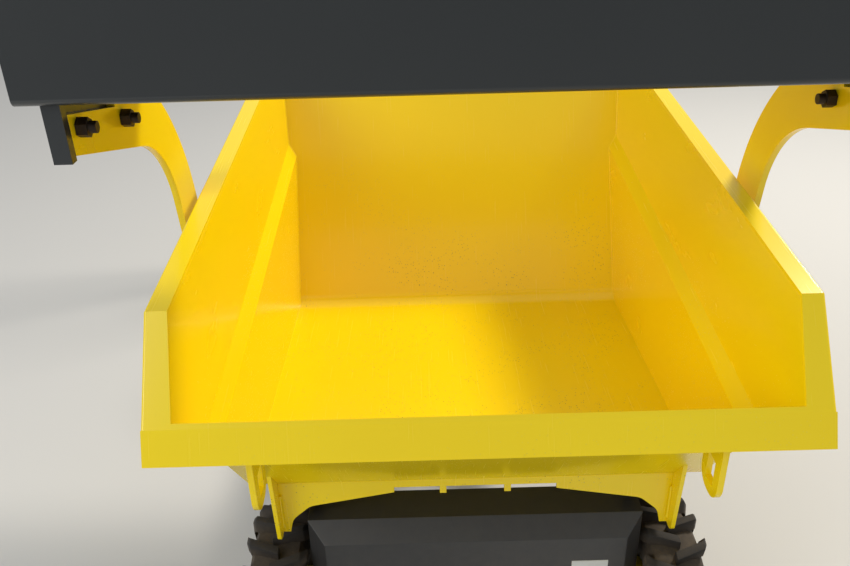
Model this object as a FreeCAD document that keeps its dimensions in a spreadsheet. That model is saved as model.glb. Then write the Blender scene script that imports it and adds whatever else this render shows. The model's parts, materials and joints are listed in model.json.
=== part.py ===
import FreeCAD, Part
import os
import re
import Sketcher

# Site dumper with a front-tipping skip and a loading shovel over its mouth.
# The frame: +X to the right as seen from the front, the front faces -Y, +Z up,
# and the origin is on the ground under the middle of the whole machine.

doc = FreeCAD.newDocument("SiteDumper")
sizes = doc.addObject("Spreadsheet::Sheet", "Sizes")
places = doc.addObject("Spreadsheet::Sheet", "Places")

# Driving dimensions in millimetres and degrees: name, value
SIZES = [
    # Skip: folded sheet tub, outer faces, and its rolled rim
    ("wall", 4),
    ("tub_half", 432),
    ("joggle_step", 20),
    ("joggle_rise", 28),
    ("joggle_height", 820),
    ("joggle_angle", 5.94),
    ("upper_half", 468),
    ("upper_height", 1075),
    ("floor_back_y", -500),
    ("floor_back_z", 587),
    ("floor_front_y", -1262),
    ("floor_front_z", 629),
    ("pan_bend", 44),
    ("lip_y", -1527),
    ("lip_z", 967),
    ("bend_y", -1424),
    ("bend_z", 1105),
    ("rail_end_y", -183),
    ("rail_end_z", 1207),
    ("rim_sheet", 6),
    ("rim_flange", 32),
    ("rim_return", 26),
    ("rim_bend", 4.5),
    ("lip_drop", 49),
    ("lip_lean", 23),
    ("lip_sheet", 5),
    # Skip underframe and its tipping pivot
    ("leg_inner", 378),
    ("leg_plate", 8),
    ("leg_foot_y", -1289),
    ("leg_foot_z", 505),
    ("leg_front_lean", 17),
    ("leg_foot_bend", 14),
    ("leg_back_y", -1040),
    ("arch_y", -1262),
    ("arch_plate", 6),
    ("arch_z", 599),
    ("arch_half", 321),
    ("arch_drop", 30),
    ("arch_side", 357),
    ("arch_side_z", 536),
    ("arch_bend", 34),
    ("notch_half", 156),
    ("notch_rise", 12),
    ("tab_mid", 62),
    ("tab_width", 13),
    ("tab_drop", 17),
    ("eye_mid", 355),
    ("eye_plate", 10),
    ("eye_y", -1483),
    ("eye_foot_z", 787),
    ("eye_width", 74),
    ("slot_width", 30),
    ("slot_low", 20),
    ("slot_high", 66),
    ("tip_pivot_y", -1225),
    ("tip_pivot_z", 590),
    ("tip_pin", 12),
    ("pin_head", 21),
    ("pin_head_length", 8),
    ("ear_boss", 25),
    ("ear_plate", 16),
    ("ear_lean", 28),
    ("pin_fit", 0.05),
    ("tip_lug_half", 26),
    ("tip_lug_spread", 60),
    ("tip_lug_inner", 24),
    ("tip_lug_plate", 14),
    # Loader: brackets on the skip, gooseneck arms and shovel
    ("loader_pivot_y", -930),
    ("loader_pivot_z", 584),
    ("loader_pin", 15),
    ("bracket_half_length", 70),
    ("bracket_foot", 34),
    ("bracket_height", 190),
    ("bracket_plate", 14),
    ("pivot_boss", 30),
    ("pivot_boss_length", 26),
    ("lift_base_reach", 490),
    ("lift_base_rise", 216),
    ("lift_pad", 30),
    ("lift_pad_plate", 24),
    ("lift_pin", 12),
    ("lift_pin_length", 82),
    ("arm_inner", 527),
    ("arm_plate", 12),
    ("arm_disc", 84),
    ("arm_half_width", 44),
    ("arm_heel_y", -1093),
    ("arm_heel_z", 1253),
    ("arm_inner_bend", 200),
    ("arm_corner_y", -1018),
    ("arm_corner_z", 1436),
    ("arm_outer_bend", 408),
    ("arm_top_z", 1424),
    ("arm_front_y", -1463),
    ("arm_front_low", 1358),
    ("arm_front_high", 1412),
    ("arm_step_y", -1290),
    ("arm_step_low", 1375),
    ("bolt_front_y", -1438),
    ("bolt_front_z", 1388),
    ("bolt_rear_y", -1277),
    ("bolt_rear_z", 1352),
    ("bolt", 8),
    ("bolt_flats", 24),
    ("bolt_head_length", 9),
    ("nut_length", 15),
    ("bolt_end", 10),
    ("lever", 72),
    ("lever_angle", 4),
    ("shovel_half", 578),
    ("shovel_front_y", -1494),
    ("shovel_low_z", 1430),
    ("shovel_edge_z", 1800),
    ("shovel_back_y", -1130),
    ("shovel_sheet", 8),
    ("shovel_side_z", 1540),
    ("shovel_side_top", 40),
    ("shovel_heel", 10),
    ("edge_plate", 14),
    ("edge_height", 90),
    ("lug_plate", 12),
    ("lug_front_y", -1479),
    ("lug_low_z", 1352),
    ("lug_back", 22),
    ("lug_bend", 12),
    # Front frame
    ("rail_half", 250),
    ("rail_width", 60),
    ("rail_low", 380),
    ("rail_top", 490),
    ("rail_front_y", -1180),
    ("rail_rear_y", -60),
    ("rail_bend", 8),
    ("ear_slope_length", 163),
    ("ear_back", 295),
    ("cross_bar", 60),
    ("box_half", 330),
    ("box_top", 530),
    ("box_front_y", -1258),
    ("box_bevel", 35),
    ("box_low", 330),
    ("box_under", 40),
    ("box_corner", 34),
    ("box_wall", 12),
    ("buffer_y", -640),
    ("buffer_length", 70),
    ("tip_base_y", -420),
    ("tip_base_z", 330),
    ("tip_eye_y", -930),
    ("tip_eye_z", 560),
    ("base_bracket", 30),
    ("base_bar_start", 46),
    # Axles and wheels
    ("wheel_mid", 400),
    ("tyre_half", 63),
    ("tyre_radius", 235),
    ("tread_radius", 214),
    ("tyre_belly", 150),
    ("tyre_shoulder", 50),
    ("bead_radius", 102),
    ("lug_half", 16),
    ("lug_end", 58),
    ("lug_overlap", 5),
    ("lug_root", 150),
    ("front_axle_y", -1235),
    ("rear_axle_y", 770),
    ("axle_tube", 45),
    ("axle_case", 72),
    ("hub_radius", 54),
    ("hub_length", 70),
    ("hub_end", 370),
    ("hanger_front_y", -1285),
    ("hanger_rear_y", -1090),
    ("hanger_low", 190),
    ("hanger_step", 285),
    ("saddle", 45),
    ("disc_offset", 10),
    ("rim_plate", 8),
    ("rim_hole", 38),
    ("rim_cap", 24),
    ("rim_well", 12),
    ("seat_gap", 0.3),
    # Articulation between the two frames
    ("hinge_y", 60),
    ("hinge_pin", 20),
    ("hinge_head", 34),
    ("hinge_head_length", 10),
    ("fork_block", 50),
    ("fork_half", 60),
    ("fork_flare", 30),
    ("fork_plate", 24),
    ("fork_gap", 110),
    ("tongue_half", 46),
    ("tongue_flare", 20),
    ("tongue_play", 5),
    ("steer_eye_x", 170),
    ("steer_eye_y", -20),
    ("steer_base_x", 190),
    ("steer_base_y", 420),
    ("steer_z", 292),
    ("steer_half", 28),
    ("steer_plate", 12),
    ("steer_gap", 14),
    ("steer_pin", 10),
    # Hydraulic cylinders
    ("base_eye", 30),
    ("neck_half", 14),
    ("neck_start", 20),
    ("barrel_start", 46),
    ("gland_step", 4),
    ("gland_length", 24),
    ("rod_eye", 22),
    ("rod_neck", 14),
    ("lift_mid", 483),
    # Rear frame and what it carries
    ("rear_rail_half", 230),
    ("rear_rail_front_y", 160),
    ("rear_end_y", 1550),
    ("weight_depth", 70),
    ("weight_half", 400),
    ("weight_low", 330),
    ("weight_top", 620),
    ("weight_bend", 30),
    ("jaw_half", 60),
    ("jaw_low", 386),
    ("jaw_high", 454),
    ("jaw_depth", 44),
    ("hitch_inset", 22),
    ("hitch_radius", 12),
    ("tank_front_y", 206),
    ("tank_rear_y", 416),
    ("tank_low", 300),
    ("tank_half", 424),
    ("tank_bend", 22),
    ("deck_half", 465),
    ("deck_sheet", 8),
    ("deck_front_y", 176),
    ("deck_rear_y", 1080),
    ("console_half", 190),
    ("console_depth", 90),
    ("console_top", 930),
    ("console_slope_z", 840),
    ("lever_box_x", 206),
    ("lever_box_width", 140),
    ("lever_box_depth", 100),
    ("lever_box_height", 250),
    ("lever_length", 190),
    ("lever_grip", 36),
    ("seat_half", 215),
    ("seat_box_top", 800),
    ("seat_front_y", 560),
    ("seat_rear_y", 980),
    ("cushion_thick", 90),
    ("back_thick", 76),
    ("back_height", 390),
    ("hood_half", 310),
    ("hood_front_y", 1092),
    ("hood_rear_y", 1470),
    ("hood_top", 900),
    ("hood_bend", 50),
    ("hood_sheet", 3),
    ("bay_top", 640),
    ("slot_pitch", 24),
    ("slot_high_z", 12),
    ("slot_length", 210),
    ("knuckle", 9),
    ("knuckle_pin", 5),
    ("engine_half", 140),
    ("engine_height", 310),
    ("rops_half", 372),
    ("rops_y", 1020),
    ("rops_depth", 50),
    ("rops_tube", 60),
    ("rops_top", 2180),
    ("rops_foot", 16),
    ("rops_foot_plate", 12),
    ("lamp_inner", 190),
    ("lamp_width", 100),
    ("lamp_height", 90),
    ("lamp_depth", 60),
    ("tail_inner", 322),
    ("tail_width", 66),
    ("tail_height", 56),
    ("beacon_radius", 46),
    ("beacon_foot", 20),
    ("beacon_height", 60),
    ("wheel_ring", 165),
    ("ring_radius", 12),
    ("spoke_half", 11),
    ("column_top_y", 330),
    ("column_top_z", 985),
    ("column_lean", 25),
    ("column_length", 134),
    ("column_radius", 22),
    ("column_boss", 28),
    ("muffler_radius", 44),
    ("muffler_length", 250),
    ("tailpipe", 18),
]

# Places worked out from them: name, formula
PLACES = [
    ("rail_slope", "(rail_end_z - bend_z) / (rail_end_y - bend_y)"),
    ("floor_slope", "(floor_back_z - floor_front_z) / (floor_back_y - floor_front_y)"),
    ("tub_lip_z", "lip_z - rim_sheet"),
    ("flank_top", "upper_height + (upper_height - joggle_height - joggle_rise) / 2"),
    ("flank_half", "upper_half + (upper_half - tub_half - joggle_step) / 2"),
    ("flank_start_y", "lip_y - 10"),
    ("flank_length", "rail_end_y - lip_y + 8 * rim_flange"),
    ("front_slope", "(tub_lip_z - floor_front_z) / (lip_y - floor_front_y)"),
    ("rear_top_y", "rail_end_y + wall * 1.126"),
    ("rear_top_z", "rail_end_z - rim_sheet + (rear_top_y - rail_end_y) * rail_slope"),
    ("rim_outer", "upper_half + rim_flange"),
    ("rim_rear_y", "rail_end_y + rim_flange"),
    ("rim_rear_z", "rail_end_z + rim_flange * rail_slope"),
    ("rim_cut_y", "lip_y + rim_sheet + lip_z * tan(joggle_angle)"),
    ("rim_cut_shift", "(rim_cut_y - flank_start_y) * sin(joggle_angle)"),
    ("rim_cut_length",
     "(rail_end_y - rim_cut_y + rail_end_z * tan(joggle_angle)) * cos(joggle_angle)"),
    ("leg_top_y", "leg_foot_y - leg_front_lean"),
    ("leg_top_z", "floor_front_z + (leg_top_y - floor_front_y) * front_slope"),
    ("leg_back_z", "floor_front_z + (leg_back_y - floor_front_y) * floor_slope"),
    ("arch_top_z", "floor_front_z + arch_plate * floor_slope"),
    ("eye_top_z", "floor_front_z + (eye_y - floor_front_y) * front_slope"),
    ("tip_lug_top_z", "floor_front_z + (tip_eye_y - floor_front_y) * floor_slope"),
    ("lift_base_y", "loader_pivot_y + lift_base_reach"),
    ("lift_base_z", "loader_pivot_z + lift_base_rise"),
    ("lift_eye_y", "loader_pivot_y + lever * sin(lever_angle)"),
    ("lift_eye_z", "loader_pivot_z + lever * cos(lever_angle)"),
    ("tip_length", "sqrt((tip_base_y - tip_eye_y) ^ 2 + (tip_base_z - tip_eye_z) ^ 2)"),
    ("lift_length", "sqrt((lift_base_y - lift_eye_y) ^ 2 + (lift_base_z - lift_eye_z) ^ 2)"),
    ("steer_length", "sqrt((steer_base_x - steer_eye_x) ^ 2 + (steer_base_y - steer_eye_y) ^ 2)"),
    ("weight_front_y", "rear_end_y - weight_depth"),
    ("hitch_y", "rear_end_y - hitch_inset"),
    ("deck_top", "rail_top + deck_sheet"),
    ("cushion_top", "seat_box_top + cushion_thick"),
    ("fork_mid_z", "(rail_low + rail_top) / 2 - 26"),
    ("fork_top_z", "fork_mid_z + fork_gap / 2"),
    ("fork_low_z", "fork_mid_z - fork_gap / 2 - fork_plate"),
    ("buffer_z", "floor_front_z + (buffer_y - floor_front_y) * floor_slope - seat_gap"),
    ("box_face_y", "box_front_y - box_bevel"),
    ("hinge_line_y", "hood_rear_y + 12"),
    ("hinge_line_z", "bay_top + 14"),
    ("column_foot_y", "column_top_y - (column_length + seat_gap) * sin(column_lean)"),
    ("column_foot_z", "column_top_z - (column_length + seat_gap) * cos(column_lean)"),
]


def fill(table, rows, owner, formula):
    """Writes one table's cells and remembers which sheet owns each name."""
    for number, (name, content) in enumerate(rows, 1):
        cell = "A%d" % number
        table.set(cell, "=" + bound(content) if formula else str(content))
        table.setAlias(cell, name)
        owners[name] = owner


def bound(text):
    """The same formula with each size name led by its sheet."""
    return re.sub(r"[a-z_]+", lambda word: owned(word.group()), str(text))


def owned(word):
    return owners[word] + "." + word if word in owners else word


def size(text):
    """The number that a formula of sizes gives."""
    return float(sizes.evalExpression(bound(text)))


owners = {}
fill(sizes, SIZES, "Sizes", False)
doc.recompute()
for place_name, place_formula in PLACES:
    row = len([name for name, sheet in owners.items() if sheet == "Places"]) + 1
    places.set("A%d" % row, "=" + bound(place_formula))
    places.setAlias("A%d" % row, place_name)
    owners[place_name] = "Places"
    doc.recompute()

nodes = []
# Each plane's role, and how a start and a length along its axis place a sketch
PLANES = {"XY": 1, "XZ": -1, "YZ": 1}
AXES = {"XY": FreeCAD.Vector(0, 0, 1), "XZ": FreeCAD.Vector(0, 1, 0), "YZ": FreeCAD.Vector(1, 0, 0)}


def circle(u, v, radius):
    return ("circle", u, v, radius)


class Piece:
    """One sub-part as a body: every step adds to it or cuts it."""

    def __init__(self, label):
        self.body = doc.addObject("PartDesign::Body", label)
        self.body.Label = label
        self.body.AllowCompound = True
        nodes.append(self.body)

    def sketch(self, plane, loops, level, origin=("0", "0"), tilt=None):
        """A sketch parallel to one of the body's planes, every point tied to the sizes."""
        drawing = self.body.newObject("Sketcher::SketchObject", self.body.Name + "Sketch")
        role = plane + "_Plane"
        base = [feature for feature in self.body.Origin.OriginFeatures if feature.Role == role][0]
        drawing.AttachmentSupport = [(base, "")]
        drawing.MapMode = "FlatFace"
        if tilt:
            drawing.AttachmentOffset = FreeCAD.Placement(
                FreeCAD.Vector(), FreeCAD.Rotation(FreeCAD.Vector(1, 0, 0), 1))
            drawing.setExpression("AttachmentOffset.Rotation.Angle", bound(tilt))
        drawing.setExpression("AttachmentOffset.Base.x", bound(origin[0]))
        drawing.setExpression("AttachmentOffset.Base.y", bound(origin[1]))
        drawing.setExpression("AttachmentOffset.Base.z", bound(level))
        for loop in loops:
            if loop[0] == "circle":
                self.draw_circle(drawing, *loop[1:])
            else:
                self.draw_outline(drawing, loop)
        return drawing

    def pin_point(self, drawing, geometry, end, u, v):
        for kind, formula in (("DistanceX", u), ("DistanceY", v)):
            row = drawing.addConstraint(
                Sketcher.Constraint(kind, -1, 1, geometry, end, size(formula)))
            drawing.setExpression("Constraints[%d]" % row, bound(formula))

    def draw_circle(self, drawing, u, v, radius):
        centre = FreeCAD.Vector(size(u), size(v), 0)
        round_line = Part.Circle(centre, FreeCAD.Vector(0, 0, 1), size(radius))
        geometry = drawing.addGeometry(round_line, False)
        self.pin_point(drawing, geometry, 3, u, v)
        row = drawing.addConstraint(Sketcher.Constraint("Radius", geometry, size(radius)))
        drawing.setExpression("Constraints[%d]" % row, bound(radius))

    def draw_outline(self, drawing, points):
        corners = [FreeCAD.Vector(size(point[0]), size(point[1]), 0) for point in points]
        first = drawing.GeometryCount
        count = len(corners)
        for index in range(count):
            line = Part.LineSegment(corners[index], corners[(index + 1) % count])
            drawing.addGeometry(line, False)
        for index in range(count):
            following = first + (index + 1) % count
            drawing.addConstraint(Sketcher.Constraint("Coincident", first + index, 2, following, 1))
        for index, point in enumerate(points):
            self.pin_point(drawing, first + index, 1, point[0], point[1])

    def pad(self, plane, loops, start, length, tilt=None):
        """Adds the outline's solid from start to start + length along the plane's axis."""
        level = start if PLANES[plane] > 0 else "-((%s) + (%s))" % (start, length)
        step = self.body.newObject("PartDesign::Pad", self.body.Name + "Pad")
        step.Profile = self.sketch(plane, loops, level, tilt=tilt)
        step.setExpression("Length", bound(length))
        self.settle(step)
        for loop in loops:
            if loop[0] != "circle":
                self.round_corners(plane, loop, start, length)
        return self

    def pocket(self, plane, loops, start, length, tilt=None, origin=("0", "0")):
        """Cuts the outline away from start to start + length along the plane's axis."""
        level = "(%s) + (%s)" % (start, length) if PLANES[plane] > 0 else "-(%s)" % start
        before = self.body.Shape.Volume
        step = self.body.newObject("PartDesign::Pocket", self.body.Name + "Pocket")
        step.Profile = self.sketch(plane, loops, level, origin, tilt)
        step.setExpression("Length", bound(length))
        self.settle(step)
        if self.body.Shape.Volume > before - 1:
            raise RuntimeError(self.body.Label + ": a pocket cuts nothing")
        return self

    def spin(self, plane, loops, origin, level, axis, cut=False):
        """Turns the outline about its sketch's own axis."""
        kind = "Groove" if cut else "Revolution"
        step = self.body.newObject("PartDesign::" + kind, self.body.Name + kind)
        step.Profile = self.sketch(plane, loops, level, origin)
        step.ReferenceAxis = (step.Profile[0], [axis])
        step.Angle = 360
        self.settle(step)
        return self

    def round_corners(self, plane, points, start, length):
        """Rounds the upright edges of a pad at the points that give a radius."""
        for radius in sorted({point[2] for point in points if len(point) > 2}):
            corners = [point for point in points if len(point) > 2 and point[2] == radius]
            names = [self.edge_at(plane, corner, start, length) for corner in corners]
            self.fillet(names, radius)

    def edge_at(self, plane, corner, start, length):
        u, v = size(corner[0]), size(corner[1])
        along = size("(%s) + (%s) / 2" % (start, length))
        place = {"XY": (u, v, along), "XZ": (u, along, v), "YZ": (along, u, v)}[plane]
        return self.nearest_edge(FreeCAD.Vector(*place))

    def edge_near(self, x, y, z):
        return self.nearest_edge(FreeCAD.Vector(size(x), size(y), size(z)))

    def nearest_edge(self, place):
        spot = Part.Vertex(place)
        distances = [edge.distToShape(spot)[0] for edge in self.body.Shape.Edges]
        return "Edge%d" % (distances.index(min(distances)) + 1)

    def fillet(self, names, radius):
        tip = self.body.Tip
        step = self.body.newObject("PartDesign::Fillet", self.body.Name + "Fillet")
        step.Base = (tip, names)
        step.setExpression("Radius", bound(radius))
        self.settle(step)
        return self

    def hollow(self, spots, thickness):
        """Leaves a wall of the given thickness, open at the faces nearest the spots."""
        shape = self.body.Shape
        faces = []
        for spot in spots:
            vertex = Part.Vertex(FreeCAD.Vector(*[size(part) for part in spot]))
            distances = [face.distToShape(vertex)[0] for face in shape.Faces]
            faces.append("Face%d" % (distances.index(min(distances)) + 1))
        tip = self.body.Tip
        step = self.body.newObject("PartDesign::Thickness", self.body.Name + "Thickness")
        step.Base = (tip, faces)
        step.setExpression("Value", bound(thickness))
        step.Reversed = True
        step.Join = 1
        self.settle(step)
        return self

    def settle(self, step):
        self.body.Tip = step
        doc.recompute()
        if "Invalid" in step.State or "Error" in step.State:
            raise RuntimeError(self.body.Label + ": " + step.Name + " fails")

    def place(self, x, y, z, axis, angle):
        """Moves a body that is drawn about its own origin to its place."""
        self.body.Placement = FreeCAD.Placement(
            FreeCAD.Vector(), FreeCAD.Rotation(FreeCAD.Vector(*axis), 1))
        self.body.setExpression("Placement.Base.x", bound(x))
        self.body.setExpression("Placement.Base.y", bound(y))
        self.body.setExpression("Placement.Base.z", bound(z))
        self.body.setExpression("Placement.Rotation.Angle", bound(angle))
        return self


def low_side(side, inner, thickness):
    """Where a plate starts along X that lies outside inner on one side of the middle."""
    return inner if side > 0 else "-((%s) + (%s))" % (inner, thickness)


def mirrored(side, points):
    """An outline drawn for the right side, turned over for the left one."""
    turned = [("%d * (%s)" % (side, point[0]),) + tuple(point[1:]) for point in points]
    return turned


SIDES = [("left", -1), ("right", 1)]


def rectangle(low_u, low_v, high_u, high_v, radius=None):
    corner = (radius,) if radius else ()
    return [(low_u, low_v) + corner, (high_u, low_v) + corner,
            (high_u, high_v) + corner, (low_u, high_v) + corner]


def spots(pitch, count, start="0"):
    """Formulas of evenly stepped places."""
    return ["%s + %d * %s" % (start, number, pitch) for number in range(count)]


def hexagon(u, v, flats):
    """The outline of a bolt's head, two corners up and down."""
    corners = []
    for angle in range(30, 390, 60):
        corners.append(("%s + %s / sqrt(3) * cos(%d)" % (u, flats, angle),
                        "%s + %s / sqrt(3) * sin(%d)" % (v, flats, angle)))
    return corners


def ring(radius, count):
    """A many-sided outline about the sketch's origin, its sides at the given radius."""
    half = 180.0 / count
    return [("(%s) / cos(%s) * cos(%s)" % (radius, half, (2 * number + 1) * half),
             "(%s) / cos(%s) * sin(%s)" % (radius, half, (2 * number + 1) * half))
            for number in range(count)]


# Skip

def skip_pan():
    """The tub: a folded sheet with a joggle along each side wall, open at top and mouth."""
    pan = Piece("skip_pan")
    profile = [
        ("lip_y", "tub_lip_z"),
        ("floor_front_y", "floor_front_z"),
        ("floor_back_y", "floor_back_z", "pan_bend"),
        ("rear_top_y", "rear_top_z"),
        ("bend_y", "bend_z - rim_sheet"),
    ]
    pan.pad("YZ", [profile], "-upper_half - 92", "2 * (upper_half + 92)")
    flank = [
        ("tub_half", "leg_foot_z - 300"),
        ("tub_half", "joggle_height"),
        ("tub_half + joggle_step", "joggle_height + joggle_rise"),
        ("flank_half", "flank_top"),
        ("flank_half + 200", "flank_top"),
        ("flank_half + 200", "leg_foot_z - 300"),
    ]
    for name, side in SIDES:
        pan.pocket("XZ", [mirrored(side, flank)], "flank_start_y", "flank_length", tilt="joggle_angle")
    pan.hollow([("0", "(rail_end_y + bend_y) / 2", "(rail_end_z + bend_z) / 2 - rim_sheet"),
                ("0", "(lip_y + bend_y) / 2", "(lip_z + bend_z) / 2 - rim_sheet")], "wall")


def skip_rim():
    """The rolled rim: a flange along both rails, the mouth and the rear, with its lip."""
    rim = Piece("skip_rim")
    band = [
        ("lip_y", "lip_z - rim_sheet"),
        ("lip_y", "lip_z"),
        ("bend_y", "bend_z"),
        ("rim_rear_y", "rim_rear_z"),
        ("rim_rear_y", "rim_rear_z - rim_sheet"),
        ("bend_y", "bend_z - rim_sheet"),
    ]
    rim.pad("YZ", [band], "-rim_outer", "2 * rim_outer")
    bends = [("rim_outer", "(bend_y + rim_rear_y) / 2", "(bend_z + rim_rear_z) / 2"),
             ("-rim_outer", "(bend_y + rim_rear_y) / 2", "(bend_z + rim_rear_z) / 2"),
             ("0", "rim_rear_y", "rim_rear_z"),
             ("rim_outer", "(bend_y + lip_y) / 2", "(bend_z + lip_z) / 2"),
             ("-rim_outer", "(bend_y + lip_y) / 2", "(bend_z + lip_z) / 2")]
    rim.fillet([rim.edge_near(*bend) for bend in bends], "rim_bend")
    mouth_half = "tub_half + joggle_step - wall"
    inside = [
        ("-(%s)" % mouth_half, "joggle_height + joggle_rise + rim_cut_shift"),
        (mouth_half, "joggle_height + joggle_rise + rim_cut_shift"),
        ("flank_half - wall", "flank_top + rim_cut_shift"),
        ("-(flank_half - wall)", "flank_top + rim_cut_shift"),
    ]
    rim.pocket("XZ", [inside], "rim_cut_y", "rim_cut_length", tilt="joggle_angle")
    lip = [
        ("lip_y", "lip_z"),
        ("lip_y - lip_lean", "lip_z - lip_drop"),
        ("lip_y - lip_lean + lip_sheet", "lip_z - lip_drop"),
        ("lip_y", "lip_z - rim_sheet"),
    ]
    rim.pad("YZ", [lip], "-rim_outer", "2 * rim_outer")
    hem = [
        ("bend_y", "bend_z - rim_sheet"),
        ("rim_rear_y", "rim_rear_z - rim_sheet"),
        ("rim_rear_y", "rim_rear_z - rim_return"),
        ("bend_y + 12", "bend_z - rim_return"),
    ]
    for name, side in SIDES:
        rim.pad("YZ", [hem], low_side(side, "rim_outer - rim_sheet", "rim_sheet"), "rim_sheet")
    back = rectangle("rim_rear_y - rim_sheet", "rim_rear_z - rim_return",
                     "rim_rear_y", "rim_rear_z - rim_sheet / 2")
    rim.pad("YZ", [back], "-rim_outer", "2 * rim_outer")


def skip_legs():
    """Plates under the floor: two carry the tipping pins, two take the tipping rod's eye."""
    legs = Piece("skip_legs")
    outline = [
        ("leg_foot_y", "leg_foot_z", "leg_foot_bend"),
        ("leg_top_y", "leg_top_z"),
        ("floor_front_y", "floor_front_z"),
        ("leg_back_y", "leg_back_z"),
        ("tip_pivot_y + 75", "leg_foot_z + 30", "leg_foot_bend"),
        ("tip_pivot_y + 40", "leg_foot_z", "leg_foot_bend"),
    ]
    for name, side in SIDES:
        start = low_side(side, "leg_inner", "leg_plate")
        legs.pad("YZ", [outline], start, "leg_plate")
        legs.pocket("YZ", [circle("tip_pivot_y", "tip_pivot_z", "tip_pin + pin_fit")],
                    start, "leg_plate")
    spread = "tip_lug_spread"
    lug = [
        ("tip_eye_y - tip_lug_half", "tip_eye_z - 22", "18"),
        ("tip_eye_y + tip_lug_half", "tip_eye_z - 22", "18"),
        ("tip_eye_y + " + spread, "tip_lug_top_z + %s * floor_slope" % spread),
        ("tip_eye_y - " + spread, "tip_lug_top_z - %s * floor_slope" % spread),
    ]
    for name, side in SIDES:
        legs.pad("YZ", [lug], low_side(side, "tip_lug_inner", "tip_lug_plate"), "tip_lug_plate")


def skip_arch_plate():
    """The plate across between the legs, its lower edge an arch with a notch and two tabs."""
    arch = Piece("skip_arch_plate")
    right = [
        ("notch_half", "arch_z + notch_rise"),
        ("notch_half", "arch_z"),
        ("arch_half", "arch_z - arch_drop", "arch_bend"),
        ("arch_side", "arch_side_z", "arch_bend"),
        ("leg_inner - 14", "leg_foot_z"),
        ("leg_inner", "leg_foot_z"),
        ("leg_inner", "arch_top_z"),
    ]
    tabs = []
    for low in ("-tab_mid - tab_width / 2", "tab_mid - tab_width / 2"):
        tabs += [
            (low, "arch_z + notch_rise"),
            (low, "arch_z + notch_rise - tab_drop"),
            (low + " + tab_width", "arch_z + notch_rise - tab_drop"),
            (low + " + tab_width", "arch_z + notch_rise"),
        ]
    left = [("-(%s)" % point[0],) + point[1:] for point in reversed(right)]
    arch.pad("XZ", [left + tabs + right], "arch_y", "arch_plate")


def lashing_eyes():
    """Two slotted eye plates under the lip."""
    eyes = Piece("lashing_eyes")
    low = "eye_y - eye_width / 2"
    high = "eye_y + eye_width / 2"
    outline = [
        (low, "eye_foot_z", "eye_width / 2 - 6"),
        (high, "eye_foot_z", "eye_width / 2 - 6"),
        (high, "eye_top_z + eye_width / 2 * front_slope"),
        (low, "eye_top_z - eye_width / 2 * front_slope"),
    ]
    slot = rectangle("eye_y - slot_width / 2", "eye_foot_z + slot_low",
                     "eye_y + slot_width / 2", "eye_foot_z + slot_high", "slot_width / 3")
    for name, side in SIDES:
        start = low_side(side, "eye_mid - eye_plate / 2", "eye_plate")
        eyes.pad("YZ", [outline], start, "eye_plate")
        eyes.pocket("YZ", [slot], start, "eye_plate")


def tip_pins():
    """Two headed pins through the legs and the frame's ears."""
    pins = Piece("tip_pins")
    head = "leg_inner + leg_plate"
    for name, side in SIDES:
        length = "leg_inner + leg_plate - rail_half - rail_width - 2"
        start = low_side(side, "rail_half + rail_width + 2", length)
        pins.pad("YZ", [circle("tip_pivot_y", "tip_pivot_z", "tip_pin")], start, length)
        pins.pad("YZ", [circle("tip_pivot_y", "tip_pivot_z", "pin_head")],
                 low_side(side, head, "pin_head_length"), "pin_head_length")


def loader_brackets():
    """Brackets on the skip's flanks with the loader's pivot pins and the cylinders' bosses."""
    bracket = Piece("loader_brackets")
    outline = [
        ("loader_pivot_y - bracket_foot", "loader_pivot_z - bracket_foot", "30"),
        ("loader_pivot_y + bracket_foot", "loader_pivot_z - bracket_foot", "30"),
        ("loader_pivot_y + bracket_half_length", "loader_pivot_z + bracket_height", "20"),
        ("loader_pivot_y - bracket_half_length", "loader_pivot_z + bracket_height", "20"),
    ]
    base = rectangle("lift_base_y - lift_pad", "lift_base_z - lift_pad",
                     "lift_base_y + lift_pad", "lift_base_z + lift_pad", "10")
    for name, side in SIDES:
        bracket.pad("YZ", [outline], low_side(side, "tub_half", "bracket_plate"), "bracket_plate")
        boss = circle("loader_pivot_y", "loader_pivot_z", "pivot_boss")
        bracket.pad("YZ", [boss], low_side(side, "tub_half", "pivot_boss_length"),
                    "pivot_boss_length")
        pin = circle("loader_pivot_y", "loader_pivot_z", "loader_pin")
        pin_length = "arm_inner + arm_plate + 4 - tub_half"
        bracket.pad("YZ", [pin], low_side(side, "tub_half", pin_length), pin_length)
        bracket.pad("YZ", [base], low_side(side, "tub_half", "lift_pad_plate"), "lift_pad_plate")
        base_pin = circle("lift_base_y", "lift_base_z", "lift_pin")
        bracket.pad("YZ", [base_pin], low_side(side, "tub_half", "lift_pin_length"),
                    "lift_pin_length")


# Loader

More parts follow.
